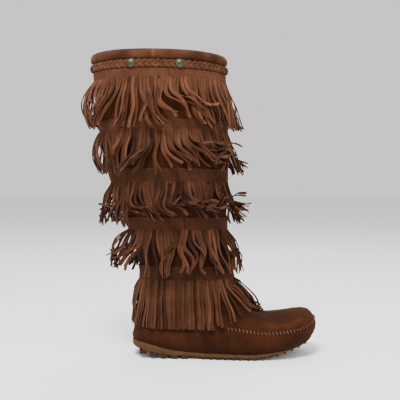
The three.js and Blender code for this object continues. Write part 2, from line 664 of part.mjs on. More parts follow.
const BRAID_LOW = BOOT_HEIGHT - ROLL_HEIGHT - ROLL_GAP - BRAID_WIDTH;
function makeBraid() {
  const low = GAP;
  const high = GAP + BRAID_THICKNESS;
  const section = [
    [low, BRAID_EASE],
    [high * 0.8, 0],
    [high, BRAID_WIDTH * 0.3],
    [high * 0.86, BRAID_WIDTH * 0.5],
    [high, BRAID_WIDTH * 0.7],
    [high * 0.8, BRAID_WIDTH],
    [low, BRAID_WIDTH - BRAID_EASE],
  ];
  const dips = (i, corner) => (corner === 2 || corner === 4) && i % 2 !== (corner / 2) % 2;
  const wave = (i, corner) => (dips(i, corner) ? -BRAID_DIP : 0);
  return bandSolid(section, BRAID_LOW, BRAID_CROSSINGS * 2, wave);
}

// The metal studs: low domes turned round their own axis, set on the plaited band
const STUDS = [
  { name: "stud_back", turn: 0.0 },
  { name: "stud_lateral_rear", turn: 0.185 },
  { name: "stud_lateral_front", turn: 0.305 },
  { name: "stud_front", turn: 0.5 },
  { name: "stud_medial_front", turn: 0.695 },
  { name: "stud_medial_rear", turn: 0.815 },
];
function addStud({ name, turn }) {
  const profile = [
    [0, 0],
    [STUD_RADIUS, 0],
    [STUD_RADIUS * 0.92, STUD_HEIGHT * 0.5],
    [STUD_RADIUS * 0.55, STUD_HEIGHT * 0.9],
    [0, STUD_HEIGHT],
  ].map(([radius, height]) => new THREE.Vector2(radius, height));
  const geometry = new THREE.LatheGeometry(profile, STUD_SIDES);
  const mesh = new THREE.Mesh(geometryOf(solidOf(geometry)), METAL);
  mesh.name = name;
  const level = levelAt(BRAID_LOW + BRAID_WIDTH / 2);
  const normal = skinNormal(turn, level);
  mesh.position.copy(skin(turn, level, BRAID_THICKNESS + 2 * GAP));
  mesh.quaternion.setFromUnitVectors(new THREE.Vector3(0, 1, 0), normal);
  boot.add(mesh);
}

// How far a point is from being clear of the upper, going by the nearest of many points of its
// outer face
const SKIN_SAMPLES = [];
const SKIN_DENSITY = 4;
function sampleSkin() {
  const face = upperFace(0).slice(1);
  for (let r = 0; r < face.length - 1; r++) {
    for (let c = 0; c < AROUND; c++) {
      const [a, b] = [face[r][c], face[r][(c + 1) % AROUND]];
      const [d, e] = [face[r + 1][c], face[r + 1][(c + 1) % AROUND]];
      const normal = e.clone().sub(a).cross(d.clone().sub(b)).normalize();
      for (let i = 0; i < SKIN_DENSITY * SKIN_DENSITY; i++) {
        const [u, v] = [(i % SKIN_DENSITY) / SKIN_DENSITY, Math.floor(i / SKIN_DENSITY) / SKIN_DENSITY];
        const at = a.clone().lerp(b, u).lerp(d.clone().lerp(e, u), v);
        SKIN_SAMPLES.push({ at, normal });
      }
    }
  }
}
sampleSkin();
function shortfall(point, clearance) {
  let best = SKIN_SAMPLES[0];
  let least = Infinity;
  for (const sample of SKIN_SAMPLES) {
    const distance = sample.at.distanceToSquared(point);
    if (distance < least) [best, least] = [sample, distance];
  }
  return { lack: clearance - point.clone().sub(best.at).dot(best.normal), normal: best.normal };
}

// A strip's path from its place on the band: down at first, then as its flow turns it. Each step is
// pushed out until its end and its middle are clear of the upper over the strip's whole width.
function stripPath(root, side, out, flow, length, width, steps) {
  const path = [root.clone()];
  const across = [-0.5, 0, 0.5].map((share) => side.clone().multiplyScalar(share * width));
  for (let i = 1; i <= steps; i++) {
    const share = (i - 0.5) / steps;
    const sweep = THREE.MathUtils.degToRad(flow.sweep * Math.min(1, 1.6 * share));
    const lift = THREE.MathUtils.degToRad(flow.bulge * Math.cos(Math.PI * share) + flow.flare * share);
    const step = new THREE.Vector3(0, 0, -Math.cos(sweep) * Math.cos(lift));
    step.addScaledVector(side, Math.sin(sweep));
    step.addScaledVector(out, Math.sin(lift) * Math.cos(sweep));
    const last = path[i - 1];
    const next = last.clone().addScaledVector(step.normalize(), length / steps);
    const stand = GAP + STRIP_THICKNESS / 2;
    for (const offset of across) {
      const end = shortfall(next.clone().add(offset), stand + STRIP_STAND * smooth(0, 0.5, i / steps));
      if (end.lack > 0) next.addScaledVector(end.normal, end.lack);
      const middle = shortfall(next.clone().add(last).multiplyScalar(0.5).add(offset), stand + CUT_GAP);
      if (middle.lack > 0) next.addScaledVector(middle.normal, 2 * middle.lack);
    }
    path.push(next);
  }
  return path;
}
// The sections of one strip below its place on the band, each as its outer edge's two corners and
// its inner edge's
function stripSections(edge, flow, length, steps) {
  const root = edge.reduce((sum, p) => sum.add(p), new THREE.Vector3()).divideScalar(edge.length);
  const side = edge[1].clone().sub(edge[0]);
  const place = side.length();
  side.normalize();
  const out = new THREE.Vector3(side.y, -side.x, 0).normalize();
  const path = stripPath(root, side, out, flow, length, place * STRIP_FILL, steps);
  return path.slice(1).map((p, i) => {
    const along = path[Math.min(i + 2, path.length - 1)].clone().sub(path[i]).normalize();
    const across = side.clone().addScaledVector(along, -side.dot(along)).normalize();
    const face = across.clone().cross(along).negate().normalize();
    const wide = (place / 2) * (i === path.length - 2 ? TIP_FILL : STRIP_FILL);
    const thick = STRIP_THICKNESS / 2;
    return [
      [-wide, thick],
      [wide, thick],
      [wide, -thick],
      [-wide, -thick],
    ].map(([a, f]) => p.clone().addScaledVector(across, a).addScaledVector(face, f));
  });
}

// One band of fringe: a ring round the shaft whose lower edge is slit into strips
const FRINGE_TOP = BRAID_LOW - BAND_GAP;
const FRINGE_PITCH = (FRINGE_TOP - ANKLE_HEIGHT - LOWEST_BAND_TOP) / (FRINGE_COUNT - 1);
function makeFringe(number) {
  const columns = ["sweep", "bulge", "flare"];
  const flowOf = {};
  for (const column of columns) flowOf[column] = through(FRINGE_FLOW[number], column, true);
  const topZ = FRINGE_TOP - number * FRINGE_PITCH;
  const steps = STRIP_STEPS[number];
  const ring = (z, out) => Array.from({ length: AROUND }, (_, i) => skin(i / AROUND, levelAt(z), out));
  const [rootZ, front] = [topZ - BAND_HEIGHTS[number], BAND_STAND + BAND_THICKNESS];
  const [outerLow, innerLow] = [ring(rootZ, front), ring(rootZ, BAND_STAND)];
  const [outerHigh, innerHigh] = [ring(topZ, front), ring(topZ, BAND_STAND)];
  const corners = [];
  const face = (a, b, c, d) => corners.push(a, b, c, a, c, d);
  for (let i = 0; i < AROUND; i++) {
    const j = (i + 1) % AROUND;
    face(outerLow[i], outerLow[j], outerHigh[j], outerHigh[i]);
    face(outerHigh[i], outerHigh[j], innerHigh[j], innerHigh[i]);
    face(innerHigh[i], innerHigh[j], innerLow[j], innerLow[i]);
    const edge = [outerLow[i], outerLow[j], innerLow[j], innerLow[i]];
    const flow = {};
    for (const column of columns) flow[column] = flowOf[column]((i + 0.5) / AROUND);
    const length = STRIP_LENGTHS[number] * (1 - 0.08 * Math.abs(Math.sin(i * 2.4 + number)));
    const sections = [edge, ...stripSections(edge, flow, length, steps)];
    for (let s = 0; s < steps; s++) {
      const [high, low] = [sections[s], sections[s + 1]];
      for (let c = 0; c < 4; c++) face(low[c], low[(c + 1) % 4], high[(c + 1) % 4], high[c]);
    }
    const [a, b, c, d] = sections[steps];
    face(a, d, c, b);
  }
  return solidOf(new THREE.BufferGeometry().setFromPoints(corners)).subtract(CLEARED_UPPER);
}

addPiece("outsole", makeOutsole(), RUBBER);
addPiece("upper", upperWall(0), SUEDE);
addPiece("insole", makeInsole(), LINING);
addPiece("collar_roll", makeCollarRoll(), SUEDE);
addPiece("braid", makeBraid(), FRINGE_SUEDE);
STUDS.forEach(addStud);
for (let i = 0; i < FRINGE_COUNT; i++) addPiece(`fringe_${i + 1}`, makeFringe(i), FRINGE_SUEDE);

export default boot;
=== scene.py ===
"""Looks of a fringed moccasin boot for the right foot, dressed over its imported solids.

Shapes are worked out in millimetres from the heel's back end, +X to the toe, +Y to the inner side
and +Z up, and are turned into the frame's metres where a mesh is made. A turn runs round the boot
from its back (0) over the outer side (0.25) and the toe or shin (0.5). A level climbs the upper:
0 to 1 is the margin under the foot, 1 to 2 the wall, 2 to 3 the plug and instep, 3 to 4 the shaft.
"""
import math

import bpy
import numpy as np
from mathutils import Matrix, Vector
from mathutils.bvhtree import BVHTree


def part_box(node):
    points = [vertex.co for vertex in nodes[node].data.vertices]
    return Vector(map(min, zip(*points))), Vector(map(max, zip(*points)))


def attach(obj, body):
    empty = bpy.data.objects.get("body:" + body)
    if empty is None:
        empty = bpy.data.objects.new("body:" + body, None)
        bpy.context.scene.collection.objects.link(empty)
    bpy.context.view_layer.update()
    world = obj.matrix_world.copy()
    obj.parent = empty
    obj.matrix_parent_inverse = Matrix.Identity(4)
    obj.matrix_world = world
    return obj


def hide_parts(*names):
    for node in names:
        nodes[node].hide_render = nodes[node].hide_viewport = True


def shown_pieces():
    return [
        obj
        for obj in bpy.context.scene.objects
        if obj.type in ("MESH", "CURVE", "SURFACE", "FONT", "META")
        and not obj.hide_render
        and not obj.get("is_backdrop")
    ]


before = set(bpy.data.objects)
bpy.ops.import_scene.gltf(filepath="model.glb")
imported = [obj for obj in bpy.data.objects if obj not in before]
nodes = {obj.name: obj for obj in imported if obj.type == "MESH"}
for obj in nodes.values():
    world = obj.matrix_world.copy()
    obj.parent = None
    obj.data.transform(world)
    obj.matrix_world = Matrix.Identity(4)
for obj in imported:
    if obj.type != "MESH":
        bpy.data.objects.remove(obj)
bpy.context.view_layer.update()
rng = np.random.default_rng(11)
TURN = 2 * math.pi
TURN_STEP = 0.004  # to either side, where a direction round the boot is measured
LEVEL_STEP = 0.015  # the same for a direction up the upper

# Driving sizes of the foot and shaft, as in the solids
SOLE_LENGTH = 254.0
BALL_WIDTH = 90.0
TOE_SWING = 7.0
SOLE_TOP_BALL = 8.7
HEEL_LIFT = 14.5
TOE_SPRING = 17.8
TOE_ROLL = 23.7
HEEL_BEVEL = 10.0
BULGE = 5.0
TOE_HEIGHT = 62.0
ANKLE_HEIGHT = 96.0
BOOT_HEIGHT = 421.0
ANKLE_BACK = 9.0
ANKLE_LENGTH = 137.0
ANKLE_WIDTH = 72.0
SHAFT_LEAN = 64.0
SHAFT_DRAW = 11.0
COLLAR_WIDTH = 82.0
COLLAR_TILT = 3.0
COLLAR_SAG = 3.5
WALL = 1.8
GAP = 0.3
MARGIN = 10.0
HEEL_ORIGIN = 60.2  # from the heel's back end to the frame's origin
SEAM_LEVEL = 2.0  # level of the moccasin seam on the upper
RIDGE = 0.9  # how far the moccasin seam stands out

# Collar, plait, studs and fringe
ROLL_HEIGHT = 11.1
ROLL_PROUD = 5.0
ROLL_INSIDE = 9.0
ROLL_RING = 440.0  # round the roll, roughly
ROLL_SEAM_TURN = 0.242  # where its ends are sewn together
ROLL_WAVES = 31  # small swells round the roll
BRAID_WIDTH = 12.0
BRAID_PERIODS = 22
BRAID_BELOW_ROLL = 1.0
BRAID_LOW = BOOT_HEIGHT - ROLL_HEIGHT - BRAID_BELOW_ROLL - BRAID_WIDTH
FRINGE_BELOW_BRAID = 0.6
FRINGE_TOP = BRAID_LOW - FRINGE_BELOW_BRAID
FRINGE_PITCH = 67.5
BAND_HEIGHTS = [11.5, 14.5, 19.0, 17.5, 19.5]
BAND_STAND = 0.45
BAND_THICKNESS = 1.3
BAND_RING = 420.0  # round a band, roughly
BAND_JOINT_TURN = 0.277  # where its ends meet
BAND_STITCHES = 190  # round one band
STITCH_PITCH = 5.0  # of the moccasin seam
SEAM_ENDS = (0.255, 0.745)  # turns between which the moccasin seam is stitched
STRAND_PITCHES = [3.8, 3.8, 3.8, 3.8, 3.3]
STRAND_STEPS = 24
STRAND_LENGTHS = [69.5, 62.0, 62.0, 64.0, 65.0]
LOOSE_SHARES = [0.3, 0.3, 0.3, 0.25, 0.08]  # loose strands, as shares of the places on the band
STRAND_TIPS = [0.95, 0.92, 0.9, 0.9, 1.2]  # width at the tip, as a share of the place on the band
STRAND_THICKNESS = 1.2
END_TWIST = 100.0  # degrees by which strands at the boot's front and back are twisted at the tip

# How far single strands stray from their band's flow
STRAY = {
    "sweep": 0.7,  # of the flow's wild value, by itself
    "lock": 0.5,  # of the wild value, together with its neighbours
    "flare": 5.0,  # degrees
    "flare_wild": 0.25,  # of the wild value
    "bulge": 4.0,  # degrees
    "twist": 60.0,  # degrees at the tip
    "length": 0.035,  # share of the length
    "width": 0.07,  # share of the width
    "tone": 0.13,
}
LAYERS = [0.0, 1.4, 2.8]  # how far out a strand hangs over the suede
LOOSE = {"stray": 1.5, "layer": 2.2, "proud": 0.8, "root": 0.5}  # what the loose strands add

# Sole studs
HEEL_STUDS = {"first": 17.0, "pitch": 14.4, "rows": 5, "size": 10.0, "height": 4.3, "taller": 1.0}
TREAD_STUDS = {"first": 100.0, "pitch": 10.0, "rows": 15, "size": 5.0, "height": 3.2}

OUTLINE = {
    "at": [0.0, 0.14, 0.28, 0.42, 0.55, 0.66, 0.76, 0.88, 1.0],
    "lateral": [0.74, 0.75, 0.76, 0.84, 0.94, 1.0, 1.0, 0.95, 0.88],
    "medial": [0.74, 0.74, 0.68, 0.63, 0.74, 0.92, 1.0, 0.98, 0.94],
}
HEEL_ROUND = {"reach": 0.13, "power": 2.1}
TOE_ROUND = {"reach": 0.22, "power": 2.15}
SOLE_LINE = {
    "at": [0.0, 0.06, 0.12, 0.185, 0.225, 0.3, 0.4, 0.5, 0.66, 0.74, 0.81, 0.88, 0.95, 1.0],
    "lift": [1.0, 0.93, 0.72, 0.4, 0.26, 0.12, 0.02, 0, 0, 0, 0, 0, 0, 0],
    "bevel": [1.0, 0.64, 0.38, 0.11, 0, 0, 0, 0, 0, 0, 0, 0, 0, 0],
    "spring": [0, 0, 0, 0, 0, 0, 0, 0, 0, 0.1, 0.23, 0.45, 0.7, 1.0],
    "roll": [0, 0, 0, 0, 0, 0, 0, 0, 0, 0.14, 0.31, 0.52, 0.77, 1.0],
}
WALL_ROWS = {
    "at": [0.0, 0.14, 0.4, 0.7, 1.0],
    "heel": [-0.35, 0.05, -0.1, -0.4, -0.75],
    "side": [-0.3, 0.42, 0.8, 0.75, 0.3],
    "toe": [-0.3, 0.5, 1.0, 1.12, 0.72],
}
FOOT_LINE = {
    "at": [0.0, 0.25, 0.42, 0.53, 0.575, 0.61, 0.65, 0.7, 0.76, 0.84, 0.92, 0.96, 1.0],
    "seam": [0.68, 0.7, 0.71, 0.695, 0.68, 0.66, 0.632, 0.607, 0.6, 0.617, 0.675, 0.73, 0.815],
    "top": [4.2, 3.2, 2.3, 1.78, 1.55, 1.28, 1.1, 0.98, 0.925, 0.95, 0.995, 1.0, 0.955],
}
SHAFT_ROWS = {
    "at": [0.0, 0.065, 0.168, 0.276, 0.484, 0.702, 0.9, 1.0],
    "back": [0.0, -0.03, 0.1, 0.27, 0.66, 0.87, 0.985, 1.0],
    "front": [0.0, 0.66, 1.14, 1.24, 1.17, 1.2, 1.45, 1.6],
    "width": [0.0, -0.05, 0.0, 0.15, 0.45, 0.75, 0.93, 1.0],
    "fold": [0.56, 0.57, 0.6, 0.62, 0.64, 0.62, 0.6, 0.58],
}

# How each band's strands fall, round the shaft. Degrees: sweep turns a strand along its band from
# the share "late" of its length on, bulge throws its upper half out and draws it in again, flare
# throws its tip out, curl snakes it and wild is how far single strands stray from the sweep.
FALL = [
    {
        "at": [0.0, 0.07, 0.14, 0.19, 0.225, 0.26, 0.31, 0.37, 0.43, 0.5, 0.62, 0.76, 0.92],
        "sweep": [0, -10, -28, -4, 8, 44, 36, 18, 12, 0, -14, 16, -8],
        "bulge": [34, 31, 13, 8, 8, 14, 12, 8, 12, 12, 12, 10, 28],
        "flare": [4, 4, 5, 5, 6, 8, 8, 8, 16, 28, 6, 6, 5],
        "late": [0, 0, 0, 0, 0.1, 0.15, 0.1, 0, 0, 0, 0, 0, 0],
        "curl": [8, 12, 14, 10, 18, 30, 26, 12, 10, 8, 14, 14, 10],
        "wild": [4, 8, 12, 6, 14, 34, 16, 10, 8, 8, 12, 12, 8],
    },
    {
        "at": [0.0, 0.07, 0.115, 0.15, 0.19, 0.23, 0.262, 0.3, 0.345, 0.4, 0.45, 0.5, 0.6, 0.75, 0.9],
        "sweep": [0, 8, 16, -12, -26, -12, 16, 50, 50, 42, 22, 0, -24, 14, -10],
        "bulge": [30, 24, 14, 10, 10, 10, 8, 10, 12, 14, 12, 10, 12, 10, 24],
        "flare": [-2, 2, 5, 5, 5, 8, 6, 8, 10, 16, 26, 36, 10, 6, 4],
        "late": [0, 0, 0, 0, 0, 0.1, 0, 0, 0.05, 0.1, 0.1, 0.1, 0, 0, 0],
        "curl": [12, 22, 26, 24, 16, 20, 14, 12, 22, 30, 18, 14, 14, 14, 14],
        "wild": [6, 8, 8, 8, 10, 36, 26, 12, 28, 36, 22, 18, 14, 12, 10],
    },
    {
        "at": [0.0, 0.08, 0.12, 0.16, 0.2, 0.25, 0.3, 0.36, 0.42, 0.46, 0.54, 0.66, 0.8, 0.92],
        "sweep": [0, -22, 22, 56, 70, 76, 86, 92, 84, 40, -20, -16, 14, 20],
        "bulge": [20, 16, 10, 12, 12, 14, 16, 14, 10, 10, 10, 10, 12, 14],
        "flare": [14, 12, 8, 8, 10, 12, 14, 16, 24, 26, 22, 6, 5, 10],
        "late": [0, 0.2, 0.3, 0.34, 0.34, 0.32, 0.3, 0.26, 0.2, 0.1, 0.1, 0.2, 0.2, 0.1],
        "curl": [24, 26, 20, 20, 26, 26, 30, 34, 30, 20, 14, 14, 14, 18],
        "wild": [30, 32, 20, 18, 22, 22, 26, 30, 34, 30, 24, 12, 12, 20],
    },
    {
        "at": [0.0, 0.05, 0.1, 0.14, 0.18, 0.22, 0.26, 0.3, 0.34, 0.4, 0.46, 0.52, 0.65, 0.8, 0.93],
        "sweep": [0, -46, -44, -16, 4, 6, -22, 6, 16, 12, 16, 0, -14, 12, 30],
        "bulge": [58, 44, 18, 12, 10, 10, 14, 14, 10, 12, 26, 34, 12, 10, 30],
        "flare": [28, 26, 14, 8, 5, 5, 8, 8, 6, 8, 24, 28, 8, 6, 24],
        "late": [0, 0.1, 0.1, 0.1, 0, 0, 0, 0, 0, 0, 0, 0, 0, 0, 0],
        "curl": [8, 12, 14, 16, 10, 14, 36, 36, 16, 12, 16, 12, 12, 12, 12],
        "wild": [8, 16, 24, 24, 8, 8, 12, 14, 14, 10, 16, 14, 12, 12, 14],
    },
    {
        "at": [0.0, 0.05, 0.1, 0.17, 0.26, 0.335, 0.38, 0.42, 0.46, 0.5, 0.54, 0.58, 0.68, 0.8, 0.93],
        "sweep": [0, -12, -4, 0, 2, 3, 16, 34, 34, 0, -34, -34, -8, 0, 10],
        "bulge": [26, 20, 8, 5, 5, 6, 8, 14, 38, 58, 30, 16, 8, 6, 20],
        "flare": [2, 2, 2, 2, 3, 4, 8, 20, 50, 66, 44, 20, 4, 3, 2],
        "late": [0, 0, 0, 0, 0, 0, 0, 0, 0, 0, 0, 0, 0, 0, 0],
        "curl": [6, 6, 3, 2, 3, 6, 5, 4, 6, 8, 8, 10, 6, 6, 8],
        "wild": [4, 6, 3, 2, 2, 8, 6, 5, 6, 7, 8, 8, 5, 4, 5],
    },
]

# Soft creases of the suede: each a trough along a line of places on one side of the boot. A depth
# below zero makes a crest.
CREASES = [
    {"side": -1, "line": [(176, 56), (200, 55), (222, 57)], "width": 7.0, "depth": 1.0},
    {
        "side": -1,
        "line": [(178, 49), (188, 45.5), (205, 44.8), (220, 46.5), (229, 49.5), (236, 53)],
        "width": 3.0,
        "depth": -1.3,
    },
    {"side": -1, "line": [(150, 74), (166, 60), (182, 52)], "width": 6.0, "depth": 1.0},
    {"side": -1, "line": [(8, 84), (26, 70), (48, 60)], "width": 8.0, "depth": 1.2},
    {"side": -1, "line": [(98, 34), (112, 18)], "width": 6.0, "depth": 0.7},
    {"side": -1, "line": [(150, 36), (156, 20)], "width": 7.0, "depth": 0.5},
    {"side": 1, "line": [(150, 74), (170, 60), (192, 50)], "width": 6.0, "depth": 1.2},
    {"side": 1, "line": [(8, 80), (28, 66), (50, 58)], "width": 8.0, "depth": 1.3},
    {"side": 1, "line": [(96, 44), (112, 30), (124, 18)], "width": 7.0, "depth": 1.1},
]


def mix(a, b, share):
    """The value at a share of the way from a to b."""
    return a + (b - a) * share


def smooth(low, high, x):
    """A soft step from 0 at low to 1 at high."""
    t = np.clip((x - low) / (high - low), 0, 1)
    return t * t * (3 - 2 * t)


def through(table, column, x, closed=False):
    """A smooth curve through one column of a table, read at x."""
    at = np.array(table["at"], float)
    value = np.array(table[column], float)
    x = np.asarray(x, float)
    if closed:
        at = np.concatenate([at - 1, at, at + 1])
        value = np.tile(value, 3)
        x = x - np.floor(x)
    x = np.clip(x, at[0], at[-1])
    slope = np.empty_like(value)
    slope[1:-1] = (value[2:] - value[:-2]) / (at[2:] - at[:-2])
    slope[0] = (value[1] - value[0]) / (at[1] - at[0])
    slope[-1] = (value[-1] - value[-2]) / (at[-1] - at[-2])
    i = np.clip(np.searchsorted(at, x, "right") - 1, 0, len(at) - 2)
    width = at[i + 1] - at[i]
    t = (x - at[i]) / width
    rise = t * t * (3 - 2 * t) * (value[i + 1] - value[i])
    return value[i] + rise + t * (1 - t) * ((1 - t) * slope[i] - t * slope[i + 1]) * width


def sole_top(x):
    """Height of the rubber's upper edge."""
    at = x / SOLE_LENGTH
    spring = TOE_SPRING * through(SOLE_LINE, "spring", at)
    return SOLE_TOP_BALL + HEEL_LIFT * through(SOLE_LINE, "lift", at) + spring


def sole_tip(x):
    """Height of the studs' tips."""
    at = x / SOLE_LENGTH
    roll = TOE_ROLL * through(SOLE_LINE, "roll", at)
    return np.maximum(0, HEEL_BEVEL * through(SOLE_LINE, "bevel", at) + roll)


def sole_plate(x):
    """Height of the plate's underside, between the studs."""
    tread = TREAD_STUDS["height"] * (sole_top(x) - sole_tip(x)) / SOLE_TOP_BALL
    heel = HEEL_STUDS["height"] + HEEL_STUDS["taller"] * through(SOLE_LINE, "lift", x / SOLE_LENGTH)
    return sole_tip(x) + mix(heel, tread, smooth(0.3, 0.4, x / SOLE_LENGTH))


def sole_centre(x):
    """The sole's middle line, which leans to the inner side at the toe."""
    return TOE_SWING * smooth(0.5, 1.08, x / SOLE_LENGTH)


def sole_half(x, side):
    """The sole's width from its middle line to one side."""
    at = np.clip(x / SOLE_LENGTH, 0, 1)
    width = np.where(side < 0, through(OUTLINE, "lateral", at), through(OUTLINE, "medial", at))
    for end, share in ((HEEL_ROUND, at), (TOE_ROUND, 1 - at)):
        t = np.minimum(1, share / end["reach"])
        width = width * (1 - (1 - t) ** end["power"]) ** (1 / end["power"])
    return BALL_WIDTH / 2 * width


def side_of(turn):
    """-1 on the outer side and 1 on the inner."""
    return np.where(np.sin(turn * TURN) >= 0, -1.0, 1.0)


def foot_share(turn):
    """How far a turn lies from the heel (0) to the toe (1)."""
    return (1 - np.cos(turn * TURN)) / 2


def outline(turn):
    """A point of the sole's outline."""
    x = SOLE_LENGTH * foot_share(turn)
    return np.stack([x, sole_centre(x) + side_of(turn) * sole_half(x, side_of(turn))], -1)


def outline_offset(turn, out):
    """A point that far outside the sole's outline."""
    along = outline(turn + TURN_STEP) - outline(turn - TURN_STEP)
    along /= np.linalg.norm(along, axis=-1, keepdims=True)
    outward = np.stack([along[..., 1], -along[..., 0]], -1)
    return outline(turn) + outward * np.asarray(out)[..., None]


def wall_point(turn, rise):
    """A point of the foot's wall, between the rubber (0) and the moccasin seam (1)."""
    at = foot_share(turn)
    side, heel = through(WALL_ROWS, "side", rise), through(WALL_ROWS, "heel", rise)
    share = mix(side, heel, 1 - smooth(0, 0.3, at))
    share = mix(share, through(WALL_ROWS, "toe", rise), smooth(0.7, 1, at))
    p = outline_offset(turn, BULGE * share)
    z = mix(sole_top(at * SOLE_LENGTH) + GAP, TOE_HEIGHT * through(FOOT_LINE, "seam", at), rise)
    return np.concatenate([p, z[..., None]], -1)


def oval_half(share, half, fold):
    """Half the width of an oval at a share of its length. A smaller fold makes its ends blunter."""
    from_end = 1 - np.abs(1 - 2 * np.clip(share, 0, 1))
    return half * np.sin(math.pi / 2 * from_end**fold)


def shaft_point(turn, height):
    """A point of the shaft, between the ankle (0) and the collar (1)."""
    back = ANKLE_BACK - SHAFT_LEAN * through(SHAFT_ROWS, "back", height)
    front = ANKLE_BACK + ANKLE_LENGTH - SHAFT_DRAW * through(SHAFT_ROWS, "front", height)
    half = mix(ANKLE_WIDTH, COLLAR_WIDTH, through(SHAFT_ROWS, "width", height)) / 2
    share = foot_share(turn)
    y = side_of(turn) * oval_half(share, half, through(SHAFT_ROWS, "fold", height))
    tilt = COLLAR_TILT * height * (share - 0.5)
    sag = (1 - np.abs(y) / half) * COLLAR_SAG * height
    z = mix(ANKLE_HEIGHT, BOOT_HEIGHT, height) - tilt - sag
    return np.stack([mix(back, front, share), y, z], -1)


# The moccasin seam on both sides of the foot, from the heel to the toe
RUN = {
    -1: wall_point(np.linspace(0, 0.5, 201), np.ones(201)),
    1: wall_point(1 - np.linspace(0, 0.5, 201), np.ones(201)),
}


def plug_point(turn, share):
    """A point of the plug and instep, between the moccasin seam (0) and the ankle (1)."""
    side = side_of(turn)
    at = foot_share(turn)
    seam_x = wall_point(turn, np.ones_like(turn))[..., 0]
    ankle_x = shaft_point(turn, np.zeros_like(turn))[..., 0]
    x = mix(seam_x, ankle_x, share)
    early = np.clip((at - 0.6) / 0.4, 0, 1) ** 2.3
    climb = early * (1 - (1 - share) ** 18) + (1 - early) * share ** mix(1, 4, early)
    domed = smooth(0.35, 0.6, x / SOLE_LENGTH)
    across = mix(1 - climb, np.cos(climb * math.pi / 2), domed)
    up = mix(climb, np.sin(climb * math.pi / 2), domed)
    runs = [[np.interp(x, RUN[s][:, 0], RUN[s][:, k]) for s in (-1, 1)] for k in (1, 2)]
    seam = [np.where(side < 0, *run) for run in runs]
    ankle_share = (x - ANKLE_BACK) / ANKLE_LENGTH
    ankle = side * oval_half(ankle_share, ANKLE_WIDTH / 2, SHAFT_ROWS["fold"][0])
    middle = ankle + sole_centre(x) * smooth(0.5, 0.7, x / SOLE_LENGTH)
    top = np.minimum(ANKLE_HEIGHT, TOE_HEIGHT * through(FOOT_LINE, "top", x / SOLE_LENGTH))
    return np.stack([x, mix(middle, seam[0], across), mix(seam[1], top, up)], -1)


def upper_point(turn, level):
    """A point of the upper's outer face."""
    turn, level = np.broadcast_arrays(np.asarray(turn, float), np.asarray(level, float))
    edge = outline_offset(turn, mix(-MARGIN, BULGE * WALL_ROWS["side"][0], np.clip(level, 0, 1)))
    margin = np.concatenate([edge, (sole_top(edge[..., 0]) + GAP)[..., None]], -1)
    parts = [
        margin,
        wall_point(turn, np.clip(level - 1, 0, 1)),
        plug_point(turn, np.clip(level - 2, 0, 1)),
        shaft_point(turn, np.clip(level - 3, 0, 1)),
    ]
    which = np.clip(np.floor(level), 0, 3).astype(int)[..., None]
    return np.choose(which, parts)


def unit(v):
    return v / np.maximum(np.linalg.norm(v, axis=-1, keepdims=True), 1e-9)


def skin_normal(turn, level):
    """The direction out of the upper's face."""
    turn, level = np.broadcast_arrays(np.asarray(turn, float), np.asarray(level, float))
    along = upper_point(turn + TURN_STEP, level) - upper_point(turn - TURN_STEP, level)
    above, below = np.minimum(4, level + LEVEL_STEP), np.maximum(0, level - LEVEL_STEP)
    rise = upper_point(turn, above) - upper_point(turn, below)
    return unit(np.cross(along, rise))


def skin(turn, level, out):
    """A point that far outside the upper's face."""
    return upper_point(turn, level) + skin_normal(turn, level) * np.asarray(out, float)[..., None]


def level_at(z):
    """The level of a height on the shaft."""
    return 3 + (z - ANKLE_HEIGHT) / (BOOT_HEIGHT - ANKLE_HEIGHT)


def ripple(p, size, seed):
    """A smooth irregular wave of about that size in millimetres, from -1 to 1, at the points p."""
    turns = np.random.default_rng(seed)
    total = 0
    for _ in range(7):
        way = unit(turns.normal(size=3))
        wave = size * turns.uniform(0.7, 1.5)
        total = total + np.sin(p @ way * TURN / wave + turns.uniform(0, TURN))
    return total / 4


def grid_faces(rows, columns, round_rows=False, start=0):
    """Quads of a grid that closes round its columns, and round its rows if asked."""
    r = np.arange(rows if round_rows else rows - 1)[:, None]
    c = np.arange(columns)[None, :]
    r2, c2 = (r + 1) % rows, (c + 1) % columns
    quads = [r * columns + c, r * columns + c2, r2 * columns + c2, r2 * columns + c]
    corners = [np.broadcast_to(q, (len(r), columns)) for q in quads]
    return np.stack(corners, -1).reshape(-1, 4) + start


# Painted shade by height: the tone, mostly darker to the foot where less light falls and the fringe
# above shades it, for plain suede and for strands
SHADE_BY_HEIGHT = {
    "at": [0, 30, 60, 110, 190, 260, 320, 380, 424],
    "suede": [0.08, 0.12, 0.17, 0.09, 0.2, 0.18, 0.34, 0.47, 0.46],
    "strand": [0.3, 0.3, 0.33, 0.3, 0.21, 0.26, 0.4, 0.53, 0.53],
}


def tone_at(p, kind):
    """The tone at the points p: painted shade by height, with a little real unevenness."""
    return through(SHADE_BY_HEIGHT, kind, p[..., 2]) + 0.06 * ripple(p, 50, 8)


def mesh_object(name, points, faces, material, replaced=(), sharp=None, tone=None, flip=False):
    """A mesh piece that rides on the boot, from points in millimetres and quads."""
    points = np.asarray(points, float).reshape(-1, 3)
    placed = (points - [HEEL_ORIGIN, 0, 0]) * 0.001
    faces = [tuple(f) for f in np.asarray(faces)[:, ::-1 if flip else 1].tolist()]
    mesh = bpy.data.meshes.new(name)
    mesh.from_pydata(placed.tolist(), [], faces)
    mesh.shade_smooth()
    if sharp is not None:
        mesh.set_sharp_from_angle(angle=math.radians(sharp))
    if tone is not None:
        attribute = mesh.attributes.new("tone", "FLOAT", "POINT")
        attribute.data.foreach_set("value", np.asarray(tone, np.float32).ravel())
    mesh.materials.append(material)
    mesh.update()
    piece = bpy.data.objects.new(name, mesh)
    bpy.context.scene.collection.objects.link(piece)
    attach(piece, "root")
    if replaced:
        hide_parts(*replaced)
    return piece


